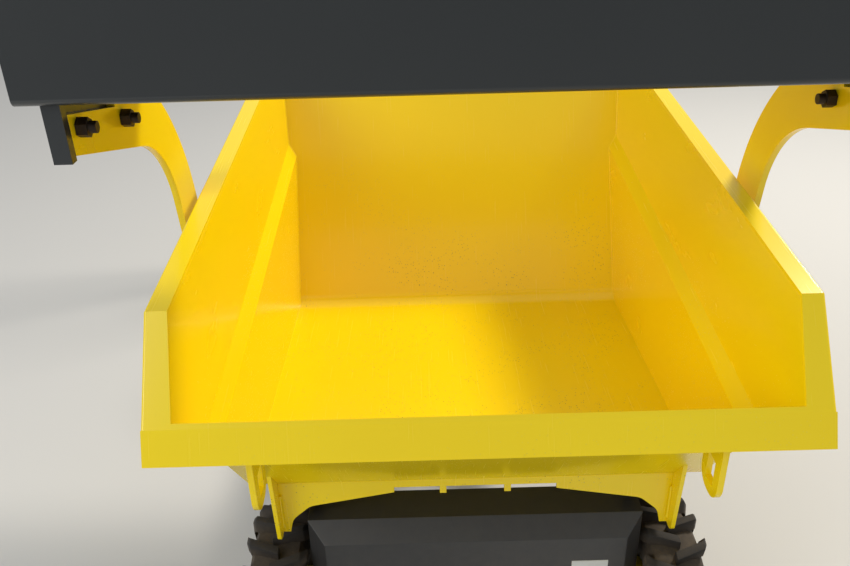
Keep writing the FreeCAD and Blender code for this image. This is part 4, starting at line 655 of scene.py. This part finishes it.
def padded_piece(name, low, high, channel_axis, channels, cross, body="rear_frame"):
    """A foam pad between two corners: swollen as cloth, then drawn in along its channels."""
    piece = start_box(name, [v + PAD_INSET for v in low], [v - PAD_INSET for v in high])
    only(piece)
    bpy.ops.object.mode_set(mode="EDIT")
    bpy.ops.mesh.select_all(action="SELECT")
    bpy.ops.mesh.subdivide(number_cuts=5)
    bpy.ops.object.mode_set(mode="OBJECT")
    bevel_edges(piece, 0.022, 5, 40)
    skin = piece.modifiers.new("skin", "REMESH")
    skin.mode = "VOXEL"
    skin.voxel_size = SKIN_SIZE
    bpy.ops.object.modifier_apply(modifier="skin")
    before = [v.co.copy() for v in piece.data.vertices]
    swell = piece.modifiers.new("swell", "CLOTH")
    swell.settings.use_pressure = True
    swell.settings.uniform_pressure_force = 4
    swell.settings.effector_weights.gravity = 0
    swell.settings.quality = 5
    swell.point_cache.frame_start = 1
    swell.point_cache.frame_end = SWELL_FRAMES
    scene = bpy.context.scene
    for number in range(1, SWELL_FRAMES + 1):
        scene.frame_set(number)
    bpy.ops.object.modifier_apply(modifier="swell")
    scene.frame_set(1)
    middle = Vector([(a + b) / 2 for a, b in zip(low, high)])
    for corner, old in zip(piece.data.vertices, before):
        shift = corner.co - old
        if shift.length > SWELL_CAP:
            corner.co = old + shift.normalized() * SWELL_CAP
        # Seams draw the top in by up to 9 mm in a soft groove 16 mm wide
        for line in channels:
            near = math.exp(-((corner.co[channel_axis] - line) / SEAM_WIDTH) ** 2)
            reach = corner.co[cross] - middle[cross]
            half = (high[cross] - low[cross]) / 2
            if reach * PAD_FRONT[name] > 0.2 * half:
                corner.co[cross] -= PAD_FRONT[name] * SEAM_DEPTH * near
        for axis in range(3):
            corner.co[axis] = min(max(corner.co[axis], low[axis] + PAD_GAP),
                                  high[axis] - PAD_GAP)
    even = piece.modifiers.new("even", "SMOOTH")
    even.factor = 0.5
    even.iterations = 2
    only(piece)
    bpy.ops.object.modifier_apply(modifier="even")
    finer = piece.modifiers.new("finer", "SUBSURF")
    finer.levels = 1
    finer.render_levels = 1
    bpy.ops.object.modifier_apply(modifier="finer")
    finish_piece(piece, body, seat_vinyl, 60)
    return piece


cushion_low, cushion_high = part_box("seat_cushion")
back_low, back_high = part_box("seat_backrest")
cushion = padded_piece("cushion_pad", cushion_low, cushion_high, 1, (0.66, 0.73, 0.80), 2)
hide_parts("seat_cushion")
backrest = padded_piece("backrest_pad", back_low, back_high, 2, (0.93, 1.02, 1.11, 1.20), 1)
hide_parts("seat_backrest")
print("pads:", len(cushion.data.polygons), len(backrest.data.polygons))

# %% [markdown]
# ## The hand wheel
# A steel ring moulded in soft plastic, with three flat spokes and a round
# cap. The ring is a torus, the spokes are boxes whose ends are drawn out to
# meet it, and the cap is a disc with an inset dome. It is modelled flat and
# then leaned with the steering column.

# %% The hand wheel
RING_RADIUS = 0.165
COLUMN_TOP = (0, 0.330, 0.985)
COLUMN_LEAN = math.radians(25)
clear_selection()
bpy.ops.mesh.primitive_torus_add(major_radius=RING_RADIUS, minor_radius=0.0118, major_segments=72,
                                 minor_segments=18)
ring = bpy.context.active_object
for corner in ring.data.vertices:
    # Shallow finger waves on the inner side of the grip
    around = math.atan2(corner.co.y, corner.co.x)
    distance = math.hypot(corner.co.x, corner.co.y)
    if distance < RING_RADIUS:
        corner.co.z *= 1 - 0.05 * math.cos(36 * around)
parts = [ring]
for angle in (90, 210, 330):
    spoke = start_box("spoke", (0.022, -0.010, 0.000), (0.100, 0.010, 0.005))
    choose_faces(spoke, lambda c, n: n.x > 0.9)
    extrude((0.058, 0.0, 0.002))
    bpy.ops.transform.resize(value=(1, 0.8, 1))
    bpy.ops.object.mode_set(mode="OBJECT")
    bevel_edges(spoke, 0.0014, 2, 40)
    spoke.data.transform(Matrix.Rotation(math.radians(angle), 4, "Z"))
    parts.append(spoke)
cap = start_round("cap", (0, 0, 0.004), 0.030, 0.024, "Z", 48)
choose_faces(cap, lambda c, n: n.z > 0.9)
bpy.ops.mesh.inset(thickness=0.006)
extrude((0, 0, 0.003))
bpy.ops.mesh.inset(thickness=0.010)
extrude((0, 0, 0.0015))
bpy.ops.object.mode_set(mode="OBJECT")
bevel_edges(cap, 0.0012, 2, 40)
parts.append(cap)
steering = joined("steering_hand_wheel", parts)
steering.data.transform(Matrix.Translation(COLUMN_TOP) @ Matrix.Rotation(-COLUMN_LEAN, 4, "X"))
finish_piece(steering, "hand_wheel", panel_plastic, 40)
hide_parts("hand_wheel")

# %% [markdown]
# ## Levers and instruments
# Three hydraulic levers stand in moulded bellows beside the console. A lever
# is a thin rod with a pear-shaped knob: a cylinder whose rings are scaled
# one by one gives that, and the same way makes the folds of the bellows.

# %% The levers with their bellows


def turned(name, x, y, rings, sides=28):
    """A round piece from (height, radius) rings: extruded and scaled ring by ring."""
    start_z, start_radius = rings[0]
    piece = start_round(name, (x, y, start_z + 0.0005), start_radius, 0.001, "Z", sides)
    choose_faces(piece, lambda c, n: n.z > 0.9)
    height, radius = start_z + 0.001, start_radius
    for next_z, next_radius in rings[1:]:
        extrude((0, 0, next_z - height))
        bpy.ops.transform.resize(value=(next_radius / radius, next_radius / radius, 1))
        height, radius = next_z, next_radius
    bpy.ops.object.mode_set(mode="OBJECT")
    return piece


LEVER_Y = 0.336
BOX_TOP = 0.748
stems, knobs, bellows = [], [], []
for x in (0.236, 0.276, 0.316):
    stems.append(turned("stem", x, LEVER_Y, [(BOX_TOP, 0.0055), (0.93, 0.0055), (0.942, 0.005)], 20))
    knobs.append(turned("knob", x, LEVER_Y, [(0.926, 0.0080), (0.930, 0.0105), (0.945, 0.0150),
                                             (0.957, 0.0165), (0.966, 0.0145), (0.972, 0.0090),
                                             (0.974, 0.0030)]))
    folds = [(BOX_TOP, 0.0185)]
    for step in range(5):
        width = 0.0180 - 0.0021 * step
        folds += [(BOX_TOP + 0.003 + 0.009 * step, width), (BOX_TOP + 0.0065 + 0.009 * step, width),
                  (BOX_TOP + 0.009 + 0.009 * step, width - 0.0045)]
    bellows.append(turned("bellows", x, LEVER_Y, folds))
finish_piece(joined("lever_rods", stems), "rear_frame", zinc_plate)
knob_set = joined("lever_knobs", knobs)
finish_piece(knob_set, "rear_frame", panel_plastic, 60)
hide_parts("control_levers")
finish_piece(joined("lever_bellows", bellows), "rear_frame", soft_rubber, 50)

# %% [markdown]
# On the panel that faces the seat are two dials, a row of warning lamps and
# the key switch. A dial is a short cylinder whose face is inset twice: once
# for the bezel and once for the sunk face.

# %% Dials, lamps and key on the panel
PANEL_LEAN = math.atan2(0.040, 0.090)
PANEL_PLACE = (Matrix.Translation((0, 0.246, 0.885))
               @ Matrix.Rotation(math.pi / 2 + PANEL_LEAN, 4, "X"))


def dial(name, across, up, radius):
    """A bezel with a sunk face, its front towards +Z before it is put on the panel."""
    piece = start_round(name, (across, up, 0.002), radius, 0.010, "Z", 40)
    choose_faces(piece, lambda c, n: n.z > 0.9)
    bpy.ops.mesh.inset(thickness=radius * 0.14)
    extrude((0, 0, -0.004))
    bpy.ops.object.mode_set(mode="OBJECT")
    bevel_edges(piece, 0.0009, 2, 40)
    return piece


DIAL_ACROSS = (-0.115, 0.115)
DIAL_RADIUS = 0.030
bezels = [dial("dial", DIAL_ACROSS[0], 0.0, DIAL_RADIUS),
          dial("dial", DIAL_ACROSS[1], 0.0, DIAL_RADIUS),
          dial("key_switch", 0.062, 0.0, 0.014)]
for index in range(3):
    bezels.append(dial("warning_lamp", -0.075 + 0.016 * index, 0.0, 0.006))
panel_set = joined("panel_bezels", bezels)
panel_set.data.transform(PANEL_PLACE @ Matrix.Rotation(math.pi, 4, "Y"))
finish_piece(panel_set, "rear_frame", panel_plastic)

marks = []
for across in DIAL_ACROSS:
    for step in range(9):
        angle = math.radians(225 - 270 * step / 8)
        mark = start_box("mark", (0.0165, -0.0006, 0.0034), (0.0225, 0.0006, 0.0040))
        choose_faces(mark, lambda c, n: n.x < -0.9)
        bpy.ops.transform.resize(value=(1, 0.6, 1))
        bpy.ops.object.mode_set(mode="OBJECT")
        mark.data.transform(Matrix.Translation((across, 0, 0)) @ Matrix.Rotation(angle, 4, "Z"))
        marks.append(mark)
    needle = start_box("needle", (-0.004, -0.0009, 0.0036), (0.010, 0.0009, 0.0044))
    choose_faces(needle, lambda c, n: n.x > 0.9)
    extrude((0.010, 0, 0))
    bpy.ops.transform.resize(value=(1, 0.3, 1))
    bpy.ops.object.mode_set(mode="OBJECT")
    needle.data.transform(Matrix.Translation((across, 0, 0))
                          @ Matrix.Rotation(math.radians(140), 4, "Z"))
    marks.append(needle)
mark_set = joined("dial_marks", marks)
mark_set.data.transform(PANEL_PLACE @ Matrix.Rotation(math.pi, 4, "Y"))
finish_piece(mark_set, "rear_frame", label_film)

# %% [markdown]
# ## Lamps and beacon
# Work lamps are black housings with a round clear lens in a bezel, tail
# lamps have a red and an amber field, and the beacon is an amber dome with
# upright ribs on a black foot.

# %% Lenses
lenses = []
for side in (-1, 1):
    rim = start_round("work_lens", (side * 0.240, 0.9735, 2.075), 0.040, 0.010, "Y", 48)
    choose_faces(rim, lambda c, n: n.y < -0.9)
    bpy.ops.mesh.inset(thickness=0.005)
    extrude((0, 0.003, 0))
    bpy.ops.mesh.inset(thickness=0.012)
    extrude((0, -0.0025, 0))
    bpy.ops.object.mode_set(mode="OBJECT")
    bevel_edges(rim, 0.0008, 2, 40)
    lenses.append(rim)
finish_piece(joined("work_lamp_lenses", lenses), "rear_frame", lamp_lens)

for name, low_z, high_z, material in (("tail_lens_red", 0.655, 0.686, red_lens),
                                      ("tail_lens_amber", 0.624, 0.651, amber_lens)):
    fields = []
    for side in (-1, 1):
        ends = sorted((side * 0.328, side * 0.382))
        field = start_box(name, (ends[0], 1.5385, low_z), (ends[1], 1.5440, high_z))
        choose_faces(field, lambda c, n: n.y > 0.9)
        bpy.ops.mesh.inset(thickness=0.004)
        extrude((0, 0.0018, 0))
        bpy.ops.object.mode_set(mode="OBJECT")
        bevel_edges(field, 0.0012, 2, 40)
        fields.append(field)
    finish_piece(joined(name, fields), "rear_frame", material)

DOME = [(2.200, 0.0440), (2.203, 0.0455), (2.212, 0.0452), (2.235, 0.0430), (2.248, 0.0385),
        (2.255, 0.0300), (2.259, 0.0180), (2.2598, 0.0060)]
HOOP_Y = 1.020
RIB_DEPTH = 0.965
dome = turned("beacon_dome", 0, HOOP_Y, DOME, 48)
for corner in dome.data.vertices:
    away = Vector((corner.co.x, corner.co.y - HOOP_Y))
    if 2.204 < corner.co.z < 2.250 and round(math.atan2(away.y, away.x) / math.radians(7.5)) % 2:
        corner.co.x, corner.co.y = away.x * RIB_DEPTH, HOOP_Y + away.y * RIB_DEPTH
finish_piece(dome, "rear_frame", amber_lens, 25)
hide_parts("beacon")
FOOT = [(2.180, 0.036), (2.184, 0.036), (2.190, 0.031), (2.196, 0.034), (2.2005, 0.046),
        (2.2045, 0.046), (2.2050, 0.040)]
foot = turned("beacon_foot", 0, HOOP_Y, FOOT, 48)
finish_piece(foot, "rear_frame", panel_plastic, 40)

# %% [markdown]
# ## Fasteners
# The hoop stands on two plates, each held by four bolts, and the hood is
# kept shut by rubber latches. One bolt is a six-sided head with its corners
# turned away, standing on a washer.

# %% Bolts of the hoop
HEAD_RADIUS = 0.0062
HEAD_HEIGHT = 0.005
FOOT_PLATE_TOP = 0.510


def bolt_at(x, y, z):
    """A hexagon head on its washer, standing on a level plate."""
    washer = start_round("washer", (x, y, z + 0.0008), HEAD_RADIUS * 1.25, 0.0020, "Z", 28)
    bevel_edges(washer, 0.0004, 1, 40)
    middle = z + 0.0016 + HEAD_HEIGHT / 2
    hexagon = start_round("head", (x, y, middle), HEAD_RADIUS, HEAD_HEIGHT, "Z", 6)
    bevel_edges(hexagon, 0.0010, 2, 50)
    return [washer, hexagon]


heads = []
for side in (-1, 1):
    for x in (0.3040, 0.3800):
        for y in (0.9875, 1.0525):
            heads += bolt_at(side * x, y, FOOT_PLATE_TOP)
finish_piece(joined("hoop_bolts", heads), "rear_frame", zinc_plate)

# %% Rubber latches of the hood
latches = []
for side in (-1, 1):
    for y in (1.160, 1.400):
        ends = sorted((side * 0.3095, side * 0.3165))
        strap = start_box("latch", (ends[0], y - 0.011, 0.608), (ends[1], y + 0.011, 0.668))
        choose_faces(strap, lambda c, n: n.z > 0.9)
        extrude((0, 0, 0.008))
        bpy.ops.transform.resize(value=(1.0, 1.7, 1))
        extrude((0, 0, 0.007))
        bpy.ops.object.mode_set(mode="OBJECT")
        bevel_edges(strap, 0.0016, 2, 40)
        latches.append(strap)
finish_piece(joined("hood_latches", latches), "rear_frame", soft_rubber)

# %% [markdown]
# ## Welds
# The skip's legs and the shovel's lugs are welded on with a bead of 6 mm. A
# bead is a round section along a line, with ripples where each pool froze.
# A curve with a round bevel gives the bead, and a radius that changes from
# point to point gives the ripples.

# %% Weld beads


def weld(points, radius=0.0032):
    """One bead along straight runs between points, rippled every 4 mm."""
    clear_selection()
    line = bpy.data.curves.new("weld", "CURVE")
    line.dimensions = "3D"
    run = line.splines.new("POLY")
    steps = []
    for first, second in zip(points, points[1:]):
        first, second = Vector(first), Vector(second)
        count = max(2, int((second - first).length / 0.002))
        steps += [first.lerp(second, index / count) for index in range(count)]
    steps.append(Vector(points[-1]))
    run.points.add(len(steps) - 1)
    for index, (point, spot) in enumerate(zip(run.points, steps)):
        point.co = (*spot, 1)
        point.radius = 1.0 if index % 2 else 0.84
    line.bevel_depth = radius
    line.bevel_resolution = 1
    line.use_fill_caps = True
    bead = bpy.data.objects.new("weld", line)
    bpy.context.scene.collection.objects.link(bead)
    only(bead)
    bpy.ops.object.convert(target="MESH")
    return bpy.context.active_object


skip_beads = []
for side in (-1, 1):
    # Where the legs meet the arch plate
    skip_beads.append(weld([(side * 0.3765, -1.2655, 0.520), (side * 0.3765, -1.2655, 0.600)]))
shovel_beads = []
for side in (-1, 1):
    for x in (0.5545, 0.5405):
        shovel_beads.append(weld([(side * x, -1.470, 1.4285), (side * x, -1.250, 1.4285)]))
finish_piece(joined("skip_welds", skip_beads), "skip", yellow_enamel, 60)
finish_piece(joined("shovel_welds", shovel_beads), "loader", dark_enamel, 60)

# %% [markdown]
# ## A blank plate
# Makers rivet a small plate to the bumper box. It is left blank here: a
# thin sheet with a turned edge.

# %% The plate
LABEL_X = (0.190, 0.262)
LABEL_Z = (0.404, 0.437)
plate = start_box("bumper_plate", (LABEL_X[0], -1.2942, LABEL_Z[0]),
                  (LABEL_X[1], -1.2930, LABEL_Z[1]))
choose_faces(plate, lambda c, n: n.y < -0.9)
bpy.ops.mesh.inset(thickness=0.0015)
extrude((0, -0.0003, 0))
bpy.ops.object.mode_set(mode="OBJECT")
finish_piece(plate, "front_frame", label_film)

# %% [markdown]
# ## Camera, floor and lamps
# The photograph was taken from close in front of the skip: the lens is 1.7 m
# above the ground, looks 28 degrees down and leans a little to one side. The
# stage is a plain pale floor. One soft lamp stands high on the right behind
# the machine, a wide weak one on the left in front, and a plain pale world
# fills the shadows.

# %% The camera
EYE = Vector((-0.086, -2.478, 1.700))
PITCH = math.radians(28.0)
ROLL = math.atan(0.0275)
ahead = Vector((0, math.cos(PITCH), -math.sin(PITCH)))
level_up = Vector((0, math.sin(PITCH), math.cos(PITCH)))
level_right = Vector((1, 0, 0))
right = level_right * math.cos(ROLL) - level_up * math.sin(ROLL)
up = level_up * math.cos(ROLL) + level_right * math.sin(ROLL)
lens = bpy.data.cameras.new("camera")
lens.lens = 35
lens.sensor_width = 36
camera = bpy.data.objects.new("camera", lens)
camera.matrix_world = Matrix.Translation(EYE) @ Matrix((right, up, -ahead)).transposed().to_4x4()
bpy.context.scene.collection.objects.link(camera)
bpy.context.scene.camera = camera

# %% The floor
clear_selection()
bpy.ops.mesh.primitive_plane_add(size=400, location=(0, 0, 0))
floor = bpy.context.active_object
floor.name = "floor"
floor_finish, tree, shader, place = new_finish("pale_floor")
shader.inputs["Base Color"].default_value = colour("D2D2D0")
shader.inputs["Roughness"].default_value = 0.8
floor.data.materials.append(floor_finish)

# %% The lamps and the world


def lamp(name, place, target, width, watts, tint="FFFFFF"):
    """A square soft lamp at a place, turned to its target."""
    light = bpy.data.lights.new(name, "AREA")
    light.size = width
    light.energy = watts
    light.color = colour(tint)[:3]
    holder = bpy.data.objects.new(name, light)
    holder.location = place
    holder.rotation_euler = (Vector(target) - Vector(place)).to_track_quat("-Z", "Y").to_euler()
    bpy.context.scene.collection.objects.link(holder)


lamp("key_lamp", (3.2, 1.8, 5.2), (0, -0.6, 0.8), 1.1, 300, "FFF6E8")
lamp("fill_lamp", (-3.6, -4.2, 3.6), (0, -0.4, 0.6), 3.0, 115)
world = bpy.data.worlds.new("studio")
world.use_nodes = True
sky = world.node_tree.nodes["Background"]
sky.inputs["Color"].default_value = colour("F2F4F6")
sky.inputs["Strength"].default_value = 0.52
bpy.context.scene.world = world
bpy.context.scene.view_settings.view_transform = "Standard"
